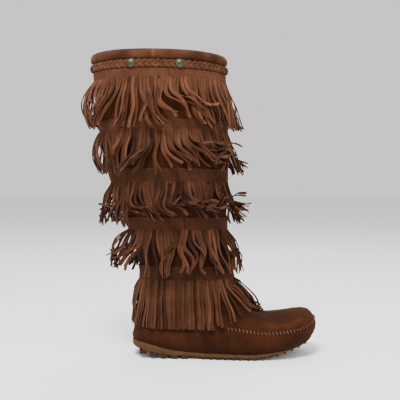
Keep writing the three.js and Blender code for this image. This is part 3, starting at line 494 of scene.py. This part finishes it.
def ribbons(spine, across, face, half_width, half_thick):
    """Points and faces of closed strips. Spine, across and face are strips by steps by 3."""
    strips, steps = spine.shape[:2]
    corners = []
    for a, f in ((-1, 1), (1, 1), (1, -1), (-1, -1)):
        shift = across * (a * half_width)[..., None] + face * (f * half_thick)[..., None]
        corners.append(spine + shift)
    points = np.stack(corners, 2).reshape(-1, 3)
    base = np.arange(strips)[:, None, None] * steps * 4
    s = np.arange(steps - 1)[None, :, None] * 4
    c = np.arange(4)[None, None, :]
    quads = [base + s + c, base + s + (c + 1) % 4, base + s + 4 + (c + 1) % 4, base + s + 4 + c]
    faces = np.stack(quads, -1).reshape(-1, 4)
    first = base[:, 0, 0][:, None] + np.array([3, 2, 1, 0])
    last = base[:, 0, 0][:, None] + (steps - 1) * 4 + np.array([0, 1, 2, 3])
    return points, np.concatenate([faces, first, last])


def tubes(spine, radius, sides=6):
    """Points and faces of threads with tapered ends. Spine is an array of threads by steps by 3."""
    threads, steps = spine.shape[:2]
    along = unit(np.gradient(spine, axis=1))
    guide = np.where(np.abs(along[..., 2:]) < 0.9, np.array([0, 0, 1.0]), np.array([1.0, 0, 0]))
    a = unit(np.cross(along, guide))
    b = np.cross(along, a)
    from_middle = np.abs(np.linspace(-1, 1, steps))
    taper = np.sqrt(np.clip(1 - from_middle**6, 0.02, 1))[None, :, None, None]
    angle = (np.arange(sides) / sides * TURN)[:, None]
    ring = a[:, :, None] * np.cos(angle) + b[:, :, None] * np.sin(angle)
    points = (spine[:, :, None] + ring * radius * taper).reshape(-1, 3)
    faces = [grid_faces(steps, sides, start=i * steps * sides) for i in range(threads)]
    return points, np.concatenate(faces)[:, ::-1]


# Materials


def new_material(name, roughness, metallic=0.0, sheen=0.0, sheen_tint=(1, 1, 1, 1)):
    """A material with its node tree and its shader."""
    material = bpy.data.materials.new(name)
    material.use_nodes = True
    tree = material.node_tree
    shader = tree.nodes["Principled BSDF"]
    shader.inputs["Roughness"].default_value = roughness
    shader.inputs["Metallic"].default_value = metallic
    shader.inputs["Sheen Weight"].default_value = sheen
    shader.inputs["Sheen Roughness"].default_value = 0.45
    shader.inputs["Sheen Tint"].default_value = sheen_tint
    return material, tree, shader


def link(tree, source, target):
    tree.links.new(source, target)


def noise_node(tree, scale, detail=4.0, roughness=0.6, distortion=0.0):
    """The output of a noise that is fixed to the object."""
    place = tree.nodes.new("ShaderNodeTexCoord")
    noise = tree.nodes.new("ShaderNodeTexNoise")
    noise.inputs["Scale"].default_value = scale
    noise.inputs["Detail"].default_value = detail
    noise.inputs["Roughness"].default_value = roughness
    noise.inputs["Distortion"].default_value = distortion
    link(tree, place.outputs["Object"], noise.inputs["Vector"])
    return noise.outputs["Fac"]


def ramp(tree, factor, stops):
    """Colours read from a factor. The first two stops are the ramp's ends."""
    node = tree.nodes.new("ShaderNodeValToRGB")
    for i, (at, color) in enumerate(stops):
        element = node.color_ramp.elements[i] if i < 2 else node.color_ramp.elements.new(at)
        element.position = at
        element.color = (*color, 1)
    link(tree, factor, node.inputs["Fac"])
    return node.outputs["Color"]


def multiply(tree, first, second, amount=1.0):
    """The first colour multiplied by that much of the second."""
    node = tree.nodes.new("ShaderNodeMix")
    node.data_type = "RGBA"
    node.blend_type = "MULTIPLY"
    node.inputs["Factor"].default_value = amount
    link(tree, first, node.inputs["A"])
    link(tree, second, node.inputs["B"])
    return node.outputs["Result"]


def bump(tree, shader, layers):
    """Adds bump layers, each a height output with its strength and depth in metres."""
    normal = None
    for height, strength, distance in layers:
        node = tree.nodes.new("ShaderNodeBump")
        node.inputs["Strength"].default_value = strength
        node.inputs["Distance"].default_value = distance
        link(tree, height, node.inputs["Height"])
        if normal is not None:
            link(tree, normal, node.inputs["Normal"])
        normal = node.outputs["Normal"]
    link(tree, normal, shader.inputs["Normal"])


def suede(name, sheen, dark, middle, light, flesh):
    """Brushed suede: mottling, nap, a soft sheen and a fine grain. The tone attribute shades it with
    painted shade and random tone, the flesh attribute turns it to the colour of the hide's other
    side, and the edge attribute, from -1 to 1 across a strip, paints shade on one cut edge and a
    highlight on the other."""
    material, tree, shader = new_material(name, 0.93, sheen=sheen, sheen_tint=(0.85, 0.45, 0.28, 1))
    shader.inputs["Specular IOR Level"].default_value = 0.06
    patches = noise_node(tree, 48, 5, 0.6, 0.3)
    mottle = ramp(tree, patches, [(0.28, dark), (0.74, light), (0.5, middle)])
    nap = ramp(tree, noise_node(tree, 420, 3, 0.7), NAP_SHADES)
    tone = tree.nodes.new("ShaderNodeAttribute")
    tone.attribute_name = "tone"
    tint = ramp(tree, tone.outputs["Fac"], TONE_SHADES)
    side = tree.nodes.new("ShaderNodeAttribute")
    side.attribute_name = "flesh"
    sided = tree.nodes.new("ShaderNodeMix")
    sided.data_type = "RGBA"
    link(tree, side.outputs["Fac"], sided.inputs["Factor"])
    link(tree, mottle, sided.inputs["A"])
    sided.inputs["B"].default_value = (*flesh, 1)
    edge = tree.nodes.new("ShaderNodeAttribute")
    edge.attribute_name = "edge"
    place = tree.nodes.new("ShaderNodeMath")
    place.operation = "MULTIPLY_ADD"
    link(tree, edge.outputs["Fac"], place.inputs[0])
    place.inputs[1].default_value = 0.5
    place.inputs[2].default_value = 0.5
    lines = ramp(tree, place.outputs["Value"], EDGE_SHADE_AND_HIGHLIGHT)
    color = multiply(tree, multiply(tree, sided.outputs["Result"], nap, 0.8), tint)
    color = multiply(tree, color, lines)
    link(tree, color, shader.inputs["Base Color"])
    folds = (noise_node(tree, 120, 4, 0.6), 0.35, 0.0006)
    grain = (noise_node(tree, 1500, 2, 0.7), 0.4, 0.0002)
    bump(tree, shader, [folds, grain])
    return material


# Ramps that the suede's colour is multiplied by: fine nap, the tone attribute with its painted shade,
# and a strip's edges, painted shade on one and a painted highlight on the other
NAP_SHADES = [(0.3, (0.78, 0.77, 0.75)), (0.7, (1.14, 1.14, 1.14))]
TONE_SHADES = [(0.0, (0.22, 0.2, 0.2)), (1.0, (1.85, 1.8, 1.75)), (0.5, (1, 1, 1))]
EDGE_SHADE_AND_HIGHLIGHT = [
    (0.0, (0.36, 0.34, 0.33)),
    (1.0, (1.4, 1.4, 1.4)),
    (0.28, (1, 1, 1)),
    (0.76, (1, 1, 1)),
]

SUEDE = suede(
    "suede",
    sheen=0.07,
    dark=(0.048, 0.014, 0.0045),
    middle=(0.062, 0.0195, 0.0067),
    light=(0.078, 0.026, 0.009),
    flesh=(0.07, 0.026, 0.013),
)
FRINGE = suede(
    "fringe_suede",
    sheen=0.12,
    dark=(0.05, 0.018, 0.0078),
    middle=(0.066, 0.025, 0.0122),
    light=(0.084, 0.033, 0.017),
    flesh=(0.074, 0.032, 0.022),
)


def plain(
    name,
    color,
    roughness,
    grain_scale=900,
    grain=0.25,
    depth=0.0002,
    metallic=0.0,
    mottle=90,
    uneven=0.2,
):
    """A plain material with mottling of one size, uneven by that share, and grain."""
    material, tree, shader = new_material(name, roughness, metallic)
    shader.inputs["Specular IOR Level"].default_value = 0.2
    low = tuple(c * (1 - uneven) for c in color)
    high = tuple(min(1, c * (1 + uneven)) for c in color)
    shades = ramp(tree, noise_node(tree, mottle, 5), [(0.35, low), (0.65, high)])
    link(tree, shades, shader.inputs["Base Color"])
    bump(tree, shader, [(noise_node(tree, grain_scale, 3), grain, depth)])
    return material


RUBBER_EDGE = plain("rubber", (0.05, 0.021, 0.0045), 0.75)
RUBBER_STUD = plain("rubber_stud", (0.022, 0.0098, 0.0042), 0.8)
LINING = plain("lining", (0.2, 0.115, 0.066), 0.92, grain_scale=700, grain=0.5, depth=0.0004)
THREAD = plain("thread", (0.13, 0.055, 0.03), 0.85)
FINE_THREAD = plain("fine_thread", (0.07, 0.025, 0.012), 0.85)
METAL = plain(
    "metal",
    (0.062, 0.06, 0.038),
    0.45,
    grain_scale=260,
    grain=0.5,
    depth=0.0004,
    metallic=0.85,
    mottle=420,
    uneven=0.55,
)


# The upper


def crease_depth(p):
    """How far the soft creases draw the suede in at the points p."""
    depth = 0
    for crease in CREASES:
        line = np.array(crease["line"], float)
        away = np.full(p.shape[:-1], 1e3)
        along = np.zeros(p.shape[:-1])
        for i, (a, b) in enumerate(zip(line, line[1:])):
            q = p[..., [0, 2]] - a
            share = np.clip(q @ (b - a) / ((b - a) @ (b - a)), 0, 1)
            here = np.linalg.norm(q - share[..., None] * (b - a), axis=-1)
            along = np.where(here < away, (i + share) / (len(line) - 1), along)
            away = np.minimum(away, here)
        ends = np.sin(np.clip(along, 0.02, 0.98) * math.pi) ** 0.5
        this_side = smooth(0, 6, p[..., 1] * crease["side"])
        trough = np.exp(-((away / crease["width"]) ** 2))
        shoulder = np.exp(-(((away - 1.9 * crease["width"]) / crease["width"]) ** 2))
        depth = depth + crease["depth"] * ends * this_side * (trough - 0.35 * shoulder)
    return depth


def seam_relief(turn, level, p):
    """The moccasin seam's ridge and the gathers on both sides of it."""
    seam = upper_point(turn, np.full_like(level, SEAM_LEVEL))
    away = np.linalg.norm(p - seam, axis=-1) * np.where(level < SEAM_LEVEL, -1, 1)
    forefoot = smooth(0.4, 0.5, foot_share(turn))
    ridge = RIDGE * np.exp(-((away / 1.5) ** 2))
    groove_above = -0.35 * np.exp(-(((away - 3.2) / 1.4) ** 2))
    groove = groove_above - 0.45 * np.exp(-(((away + 3.4) / 1.6) ** 2))
    run = np.cumsum(np.linalg.norm(np.diff(seam, axis=1, prepend=seam[:, :1]), axis=-1), axis=1)
    gathers = np.sin(run * TURN / 6.2 + 1.3 * np.sin(run / 17)) * np.exp(-(((away + 6) / 5.5) ** 2))
    puckers = np.sin(run * TURN / 4.4) * np.exp(-(((away - 3.5) / 3) ** 2))
    toe = smooth(0.84, 0.95, foot_share(turn))
    relief = (ridge + groove) * mix(1, 0.4, toe) + mix(0.06, 0.18, toe) * gathers + 0.08 * puckers
    return forefoot * relief


def upper_outside():
    """The suede outside, from the sole up to the rim."""
    columns = 336
    margin = np.linspace(0.7, 1, 3)[:-1]
    wall = np.linspace(1, 2, 30)[:-1]
    plug = 2 + np.linspace(0, 1, 64)[:-1] ** 1.5
    shaft = 3 + np.linspace(0, 1, 110)
    levels = np.concatenate([margin, wall, plug, shaft])
    turn, level = np.meshgrid(np.arange(columns) / columns, levels)
    p = upper_point(turn, level)
    normal = skin_normal(turn, level)
    on_foot = smooth(1.05, 1.3, level)
    crease = crease_depth(p)
    out = seam_relief(turn, level, p) - crease
    out = out + on_foot * (0.4 * ripple(p, 38, 3) + 0.12 * ripple(p, 13, 5))
    # Painted light: the plug above the moccasin seam, from 170 to 225 mm, is lightened where its top
    # faces the light
    tone = tone_at(p, "suede") + 0.07 * smooth(2.0, 2.02, level) * smooth(170, 225, p[..., 0])
    # Painted shade: the lower wall and margin are darkened, and each crease is darkened in its trough
    # and lightened on its crest as a painted highlight
    tone = tone - 0.06 * smooth(1.5, 1.0, level) - 0.07 * np.clip(crease, -1.4, 1.4)
    # Painted shadow: the suede under each band's hanging strands is darkened
    for number, height in enumerate(BAND_HEIGHTS):
        cut = FRINGE_TOP - number * FRINGE_PITCH - height
        strand_shadow = smooth(cut + 2, cut - 4, p[..., 2]) * smooth(cut - 58, cut - 44, p[..., 2])
        tone = tone - 0.1 * strand_shadow
    return p + normal * out[..., None], tone, grid_faces(len(levels), columns)


outside, outside_tone, outside_faces = upper_outside()
mesh_object("upper_suede", outside, outside_faces, SUEDE, replaced=["upper"], tone=outside_tone)
outside_points = [Vector(p) for p in outside.reshape(-1, 3)]
body_tree = BVHTree.FromPolygons(outside_points, outside_faces.tolist())


def lining():
    """The upper's inner face."""
    columns = 96
    wall, plug, shaft = np.linspace(1.04, 2, 8), np.linspace(2.08, 3, 14), np.linspace(3.05, 4, 24)
    levels = np.concatenate([[0.0, 0.5, 1.0], wall, plug, shaft])
    turn, level = np.meshgrid(np.arange(columns) / columns, levels)
    out = -WALL + 0.3 * ripple(upper_point(turn, level), 40, 21)
    points = skin(turn, level, np.where(level <= 1, -0.4 * WALL, out))
    mesh_object("upper_lining", points, grid_faces(len(levels), columns), LINING, flip=True)


lining()


def seam_stitches():
    """Pale whip stitches over the moccasin seam, long along the sides and short round the toe."""
    fine = np.linspace(*SEAM_ENDS, 4001)
    line = upper_point(fine, np.full_like(fine, SEAM_LEVEL))
    run = np.concatenate([[0], np.cumsum(np.linalg.norm(np.diff(line, axis=0), axis=1))])
    count = int(run[-1] / STITCH_PITCH)
    turn = np.interp((np.arange(count) + 0.5) * run[-1] / count, run, fine)
    level = np.full_like(turn, SEAM_LEVEL)
    seam = upper_point(turn, level)
    normal = skin_normal(turn, level)
    forward = upper_point(turn + TURN_STEP / 2, level) - upper_point(turn - TURN_STEP / 2, level)
    forward = unit(forward)
    up = np.cross(normal, forward)
    up = up * np.where(up[:, 2:] < 0, -1, 1)
    forward = forward * np.where(turn < 0.5, 1, -1)[:, None]
    half = mix(2.5, 1.1, smooth(0.84, 0.9, foot_share(turn))) * rng.normal(1, 0.07, count)
    share = np.linspace(-1, 1, 9)[None, :]
    slant = -share * rng.normal(0.95, 0.12, (count, 1)) * (half / 2.5)[:, None]
    height = RIDGE * np.exp(-((share * half[:, None] / 1.6) ** 2)) + 0.3 - 0.55 * share**4
    spine = seam[:, None] + up[:, None] * (share * half[:, None])[..., None]
    spine = spine + forward[:, None] * slant[..., None] + normal[:, None] * height[..., None]
    points, faces = tubes(spine, 0.55)
    mesh_object("seam_stitches", points, faces, THREAD)


seam_stitches()


# The fringe


def strand_count(number, cut):
    """How many strands a band has, cut at a height."""
    ring = upper_point(np.linspace(0, 1, 361), level_at(cut))
    around = np.sum(np.linalg.norm(np.diff(ring, axis=0), axis=1))
    return int(round(around / STRAND_PITCHES[number]))


def band(number, low, high):
    """The uncut part of one band, with a joint at its outer side."""
    columns = 360
    section = [(0, 0), (1, 0), (1.08, 0.5), (1, 0.9), (0.85, 1), (0, 1)]
    turn = np.arange(columns) / columns
    joint = np.exp(-(((turn - BAND_JOINT_TURN) * BAND_RING / 0.8) ** 2))
    rows = []
    for out, up in section:
        level = np.full(columns, level_at(mix(low, high, up)))
        rows.append(skin(turn, level, BAND_STAND + out * BAND_THICKNESS - 0.9 * joint * (out > 0)))
    rows = np.array(rows)
    rows[1:5] += skin_normal(turn, level_at(low)) * (0.25 * ripple(rows[1], 30, number))[:, None]
    tone = tone_at(rows, "suede") - 0.15 * joint
    faces = grid_faces(len(section), columns, round_rows=True)
    replaced = [f"fringe_{number + 1}"]
    mesh_object(f"band_{number + 1}", rows, faces, FRINGE, replaced, sharp=50, tone=tone)


def band_stitches(number, high):
    """A fine stitched line near a band's top edge."""
    steps = np.linspace(-0.32, 0.32, 5)[None, :]
    turn = (np.arange(BAND_STITCHES)[:, None] + steps) / BAND_STITCHES
    level = np.full_like(turn, level_at(high - 2.4))
    bow = 0.22 * (1 - np.linspace(-1, 1, 5)[None, :] ** 2)
    spine = skin(turn, level, BAND_STAND + BAND_THICKNESS + 0.05 + bow + 0 * turn)
    points, faces = tubes(spine, 0.32, 5)
    mesh_object(f"band_stitches_{number + 1}", points, faces, FINE_THREAD)


def kept_outside(p, stand):
    """Moves the points p out until each is clear of the suede by its stand."""
    for i, point in enumerate(p):
        place, normal, _, _ = body_tree.find_nearest(Vector(point))
        depth = (Vector(point) - place).dot(normal)
        if depth < stand[i]:
            p[i] = point + np.array(normal) * (stand[i] - depth)
    return p


def strand_habits(number, turn, loose, own):
    """How each strand falls: the flow at its place, with what it does by itself."""
    count = len(turn)
    table = FALL[number]
    flow = {name: through(table, name, turn, closed=True) for name in table if name != "at"}
    wild = flow["wild"]
    calm = np.clip(wild / 8, 0.3, 1)
    stray = LOOSE["stray"] if loose else 1.0
    lock = np.convolve(np.tile(own.normal(0, 1, count), 3), np.hanning(7) / 2, "same")[count:-count]
    astray = STRAY["sweep"] * own.normal(0, 1, count) + STRAY["lock"] * lock
    flare = flow["flare"] + np.abs(own.normal(0, 1, count)) * calm * STRAY["flare"]
    habits = {
        "late": flow["late"],
        "curl": flow["curl"],
        "sweep": flow["sweep"] + stray * wild * astray,
        "flare": flare + STRAY["flare_wild"] * wild * own.uniform(0, 1, count),
        "bulge": flow["bulge"] + own.normal(0, STRAY["bulge"], count) * calm,
        "phase": own.uniform(0, 1, count) * 0.3 + turn * 9,
        "waves": own.uniform(0.8, 1.25, count),
        "swell": own.uniform(4, 15, count) * calm,
        "swell_phase": own.uniform(0, 1, count),
        "long": 1 + STRAY["length"] * calm * own.normal(0, 1, count),
        "layer": own.choice(LAYERS, count) * calm + LOOSE["layer"] * loose,
        "proud": own.uniform(0, 1.5, count) * calm + LOOSE["proud"] * loose,
        "twist": own.normal(0, STRAY["twist"], count) * calm * stray,
    }
    habits["twist"] += END_TWIST * np.abs(np.cos(turn * TURN)) ** 6
    return habits


def strand_paths(number, root, side, out, habits):
    """The strands' middle lines, led down step by step from the cut and kept off the suede."""
    step = STRAND_LENGTHS[number] * habits["long"] / STRAND_STEPS
    late = habits["late"]
    path = [root + np.array([0, 0, 1.2]), root]
    for i in range(1, STRAND_STEPS + 1):
        share = (i - 0.5) / STRAND_STEPS
        turned = smooth(0, 1, np.clip((share - late) / (1.02 - late) * 1.6, 0, 1))
        snake = habits["curl"] * np.sin((share * habits["waves"] + habits["phase"]) * TURN)
        angle = np.radians(habits["sweep"] * turned + snake * min(1, 2.5 * share))
        swell = habits["swell"] * np.sin((share * 1.4 + habits["swell_phase"]) * TURN)
        rise = habits["bulge"] * math.cos(math.pi * share) + habits["flare"] * share
        lift = np.radians(rise + swell * min(1, 3 * share))
        way = side * np.sin(angle)[:, None] + out * np.sin(lift)[:, None]
        way[:, 2] = -np.cos(angle) * np.cos(lift)
        clear = smooth(0, 0.4, share)
        near = habits["proud"] * smooth(0, 0.14, share) * (1 - clear)
        stand = GAP + 0.7 + near + (2.2 + habits["layer"]) * clear
        path.append(kept_outside(path[-1] + unit(way) * step[:, None], stand))
    return np.stack(path, 1)


def strands(number, cut, loose):
    """The strips of one band. The loose ones are fewer, hang further out and stray more."""
    own = np.random.default_rng((200 if loose else 100) + number)
    places = strand_count(number, cut)
    turn = (np.arange(places) + 0.5) / places
    if loose:
        turn = np.sort(own.choice(turn, int(LOOSE_SHARES[number] * places), replace=False))
    count = len(turn)
    level = np.full(count, level_at(cut))
    habits = strand_habits(number, turn, loose, own)

    stand = BAND_STAND + BAND_THICKNESS / 2 + LOOSE["root"] * loose
    root = skin(turn, level, np.full(count, stand))
    out = skin_normal(turn, level)
    out[:, 2] = 0
    out = unit(out)
    side = np.stack([-out[:, 1], out[:, 0], np.zeros(count)], -1)
    ends = [upper_point(turn + s / places, level) for s in (-0.5, 0.5)]
    place = np.linalg.norm(ends[1] - ends[0], axis=1)
    path = strand_paths(number, root, side, out, habits)

    along = unit(np.gradient(path, axis=1))
    across = unit(side[:, None] - along * np.sum(side[:, None] * along, -1, keepdims=True))
    face = np.cross(along, across)
    share = np.linspace(0, 1, path.shape[1])[None, :, None]
    spin = np.radians(habits["twist"])[:, None, None] * share**1.5
    c, s = np.cos(spin), np.sin(spin)
    across, face = across * c + face * s, face * c - across * s
    taper = mix(0.97, STRAND_TIPS[number], share[..., 0])
    half = place[:, None] * 0.5 * taper * own.normal(1, STRAY["width"], (count, 1))
    half[:, -1] *= own.uniform(0.75, 1, count)
    thick = np.full_like(half, STRAND_THICKNESS / 2)
    points, faces = ribbons(path, across, face, half, thick)

    # Each strand's own random tone, with painted shade: strands hanging closer to the suede are
    # darker, and each is darker at its root than at its tip
    own_tone_and_shade = own.normal(0, STRAY["tone"], count) + 0.02 * (habits["layer"] - LAYERS[1])
    tone = tone_at(path, "strand") + own_tone_and_shade[:, None] + 0.06 * (share[..., 0] - 0.5)
    tone = np.repeat(tone[..., None], 4, 2)
    name = f"strands_{number + 1}_loose" if loose else f"strands_{number + 1}"
    piece = mesh_object(name, points, faces, FRINGE, sharp=50, tone=tone, flip=True)
    # The edge corners paint shade on one cut edge of each strip and a highlight on the other
    for kind, corners in (("flesh", (0.0, 0.0, 1.0, 1.0)), ("edge", (-1.0, 1.0, 1.0, -1.0))):
        values = np.broadcast_to(np.array(corners, np.float32), tone.shape)
        attribute = piece.data.attributes.new(kind, "FLOAT", "POINT")
        attribute.data.foreach_set("value", values.ravel())


for number in range(len(FALL)):
    high = FRINGE_TOP - number * FRINGE_PITCH
    cut = high - BAND_HEIGHTS[number]
    band(number, cut, high)
    band_stitches(number, high)
    strands(number, cut, loose=False)
    strands(number, cut, loose=True)


# The collar


def collar_roll():
    """The rolled suede edge, with a seam at its outer side."""
    inside = -WALL - GAP
    outer = [
        (GAP, -ROLL_HEIGHT),
        (ROLL_PROUD * 0.4, -ROLL_HEIGHT - 0.6),
        (ROLL_PROUD * 0.8, -ROLL_HEIGHT * 0.93),
        (ROLL_PROUD, -ROLL_HEIGHT * 0.62),
        (ROLL_PROUD, -ROLL_HEIGHT * 0.36),
        (ROLL_PROUD * 0.8, -ROLL_HEIGHT * 0.1),
        (ROLL_PROUD * 0.4, 1.2),
        (-0.4, 2.1),
    ]
    inner = [
        (inside - 0.4, 1.7),
        (inside - 1.3, 0.4),
        (inside - 1.5, -3),
        (inside - 1.4, -ROLL_INSIDE),
        (inside, -ROLL_INSIDE),
        (inside, 0.2),
        (GAP, 0.3),
    ]
    section = outer + inner
    columns = 420
    turn = np.arange(columns) / columns
    from_seam = (turn - ROLL_SEAM_TURN) * ROLL_RING
    rows = []
    for out, up in section:
        level = np.full(columns, min(4.0, level_at(BOOT_HEIGHT + up)))
        seam = np.exp(-((from_seam / 1.5) ** 2))
        swells = 0.25 * np.sin(turn * TURN * ROLL_WAVES)
        shape = out + (swells - 1.3 * seam) * (out > GAP)
        row = skin(turn, level, shape)
        row[:, 2] += max(0, up)
        rows.append(row)
    rows = np.array(rows)
    rows[1:9] += 0.2 * ripple(rows[1:9], 14, 50)[..., None]
    # Painted highlight: the roll is lightened round its seam
    seam_highlight = np.exp(-((from_seam / 12) ** 2))
    tone = tone_at(rows, "suede") - 0.14 + 0.14 * ripple(rows, 22, 51) + 0.16 * seam_highlight + 0.3 * seam
    faces = grid_faces(len(section), columns, round_rows=True)
    roll = mesh_object("collar_suede", rows, faces, FRINGE, ["collar_roll"], tone=tone)
    subdivision = roll.modifiers.new("rounding", "SUBSURF")
    subdivision.levels = subdivision.render_levels = 1


collar_roll()


def braid():
    """The plaited band: three flat laces that cross over one another."""
    laces, sides, steps = 3, 10, 64 * BRAID_PERIODS
    turn = np.arange(steps) / steps
    middle = BRAID_LOW + BRAID_WIDTH / 2
    points, faces = [], []
    for lace in range(laces):
        angle = turn * TURN * BRAID_PERIODS + lace * TURN / laces
        swing = BRAID_WIDTH * 0.31 * np.sin(angle)
        depth = GAP + 1.5 + 0.8 * np.sin(2 * angle)
        spine = skin(turn, level_at(middle + swing), depth)
        along = unit(np.roll(spine, -1, 0) - np.roll(spine, 1, 0))
        normal = skin_normal(turn, level_at(middle))
        across = unit(np.cross(normal, along))
        normal = np.cross(along, across)
        ring = (np.arange(sides) / sides * TURN)[:, None, None]
        shape = 2.3 * np.cos(ring) * across + 0.85 * np.sin(ring) * normal
        points.append((spine + shape).reshape(-1, 3))
        faces.append(grid_faces(sides, steps, round_rows=True, start=lace * sides * steps))
    points = np.concatenate(points)
    tone = 0.5 + 0.12 * ripple(points, 12, 60)
    mesh_object("braid_laces", points, np.concatenate(faces), FRINGE, ["braid"], tone=tone)


braid()


def studs():
    """Domed metal studs with a raised rim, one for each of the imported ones."""
    rim = [(0, 0.1), (5.6, 0), (6.2, 0.35), (6.2, 0.8), (5.7, 1.1), (5.2, 0.95)]
    dome = [(4.9, 1.15), (4, 2.1), (2.4, 2.85), (0.9, 3.1), (0, 3.12)]
    profile = rim + dome
    sides = 40
    angle = np.arange(sides) / sides * TURN
    level = level_at(BRAID_LOW + BRAID_WIDTH / 2)
    turn = np.linspace(0, 1, 721)
    near = upper_point(turn, level)
    for name in [n for n in nodes if n.startswith("stud_")]:
        low, high = (np.array(corner) * 1000 + [HEEL_ORIGIN, 0, 0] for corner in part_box(name))
        middle = (low + high) / 2
        best = turn[np.argmin(np.linalg.norm(near - middle, axis=1))]
        normal = skin_normal(best, level)
        foot = skin(best, level, GAP + 2.5)
        a = unit(np.cross(normal, [0, 0, 1.0]))
        b = np.cross(normal, a)
        ring = np.cos(angle)[:, None] * a + np.sin(angle)[:, None] * b
        rows = np.array([foot + normal * height + ring * radius for radius, height in profile])
        faces = grid_faces(len(profile), sides)
        mesh_object(f"{name}_dome", rows, faces, METAL, [name], sharp=60, flip=True)


studs()


# The sole


def sole_sections(inset, low, high, count=150):
    """Rows of a plate's section from the heel to the toe, rounded along its edge."""
    profile = np.array([(1.5, 0.0), (0.4, 0.12), (0.0, 0.34), (0.0, 0.7), (0.25, 0.9), (1.2, 1.0)])
    x = 0.3 + (SOLE_LENGTH - 0.6) * (1 - np.cos(np.linspace(0, math.pi, count))) / 2
    rows = []
    for side, order in ((-1, profile), (1, profile[::-1])):
        for tuck, rise in order:
            half = np.maximum(0.1, sole_half(x, side) - inset - tuck)
            rows.append(np.stack([x, sole_centre(x) + side * half, mix(low(x), high(x), rise)], -1))
    return np.stack(rows, 1)


def outsole():
    """The tan plate, closed at the heel and at the toe by quads from side to side."""
    sections = sole_sections(0, sole_plate, sole_top)
    count, columns = sections.shape[:2]
    low = np.arange(columns // 2 - 1)
    far = columns - 1 - low
    heel_end = np.stack([low, far, far - 1, low + 1], -1)
    toe_end = heel_end[:, ::-1] + (count - 1) * columns
    faces = np.concatenate([grid_faces(count, columns), heel_end, toe_end])
    mesh_object("sole_plate", sections, faces, RUBBER_EDGE, ["outsole"], sharp=40)


def sole_studs():
    """The heel's square studs and the forefoot's round ones."""
    points, faces = [], []

    def add(x, y, size, round_ones):
        corners = 16 if round_ones else 24
        angle = (np.arange(corners) + 0.5) / corners * TURN
        power = 1.0 if round_ones else 0.28
        c, s = np.cos(angle), np.sin(angle)
        shape = np.stack([np.sign(c) * np.abs(c) ** power, np.sign(s) * np.abs(s) ** power], -1)
        tip, root = float(sole_tip(x)), float(sole_plate(x)) + 0.8
        rows = []
        for radius, rise in ((1.04, 1), (0.98, 0.25), (0.93, 0.07), (0.82, 0), (0.0, 0)):
            height = np.full((corners, 1), mix(tip, root, rise))
            rows.append(np.concatenate([[x, y] + shape * radius * size / 2, height], -1))
        faces.append(grid_faces(len(rows), corners, start=sum(len(p) for p in points)))
        points.append(np.concatenate(rows))

    for row in range(HEEL_STUDS["rows"]):
        x = HEEL_STUDS["first"] + row * HEEL_STUDS["pitch"]
        for side in (-1, 0, 1):
            half = float(sole_half(x, side)) - HEEL_STUDS["size"] / 2 - 0.6
            add(x, float(sole_centre(x)) + side * half, HEEL_STUDS["size"], False)
    for row in range(TREAD_STUDS["rows"]):
        x = TREAD_STUDS["first"] + row * TREAD_STUDS["pitch"]
        for share in (-1, -0.66, -0.33, 0, 0.33, 0.66, 1):
            half = float(sole_half(x, share)) - TREAD_STUDS["size"] / 2 - 0.8
            add(x, float(sole_centre(x)) + share * half, TREAD_STUDS["size"], True)
    points, faces = np.concatenate(points), np.concatenate(faces)
    mesh_object("sole_studs", points, faces, RUBBER_STUD, sharp=50, flip=True)


outsole()
sole_studs()

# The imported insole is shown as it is, with the lining's look
insole = nodes["insole"]
insole.data.materials.clear()
insole.data.materials.append(LINING)


# Floor, light and camera


def studio():
    """A plain floor and soft light."""
    bpy.ops.mesh.primitive_plane_add(size=12, location=(0, 2, -0.0003))
    floor = bpy.context.object
    floor.name = "floor"
    material, _, shader = new_material("floor", 0.85)
    shader.inputs["Base Color"].default_value = (0.9, 0.9, 0.9, 1)
    floor.data.materials.append(material)
    floor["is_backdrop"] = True
    world = bpy.data.worlds.new("studio")
    world.use_nodes = True
    world.node_tree.nodes["Background"].inputs["Color"].default_value = (1, 1, 1, 1)
    world.node_tree.nodes["Background"].inputs["Strength"].default_value = 1.0
    bpy.context.scene.world = world
    for name, place, size, power in (
        ("key", (-0.3, -0.95, 1.9), 0.7, 80),
        ("fill", (0.9, -1.3, 1.1), 1.2, 10),
        ("back", (0.3, 1.0, 1.6), 1.0, 14),
    ):
        light = bpy.data.objects.new(name, bpy.data.lights.new(name, "AREA"))
        light.data.size = size
        light.data.energy = power
        light.location = place
        aim = Vector((0.02, 0, 0.2)) - Vector(place)
        light.rotation_euler = aim.to_track_quat("-Z", "Y").to_euler()
        bpy.context.scene.collection.objects.link(light)


PHOTO_PIXELS = 400
FOCAL_PIXELS = 635
HORIZON_ABOVE_MIDDLE = 20  # pixels
CAMERA_PLACE = (0.0348, -0.9, 0.2445)
SENSOR_WIDTH = 36


def camera():
    """The photo's camera, level and square to the boot's side."""
    data = bpy.data.cameras.new("camera")
    data.sensor_width = SENSOR_WIDTH
    data.lens = SENSOR_WIDTH * FOCAL_PIXELS / PHOTO_PIXELS
    piece = bpy.data.objects.new("camera", data)
    piece.location = CAMERA_PLACE
    piece.rotation_euler = (math.pi / 2, 0, 0)
    data.shift_y = -HORIZON_ABOVE_MIDDLE / PHOTO_PIXELS
    bpy.context.scene.collection.objects.link(piece)
    bpy.context.scene.camera = piece


studio()
camera()

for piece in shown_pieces():
    name = piece.name
    if name.startswith(("strands", "band", "braid")):
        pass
    elif name.startswith(("upper_suede", "collar", "seam")):
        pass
    elif name.startswith("sole"):
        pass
    elif name.startswith("stud"):
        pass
    else:
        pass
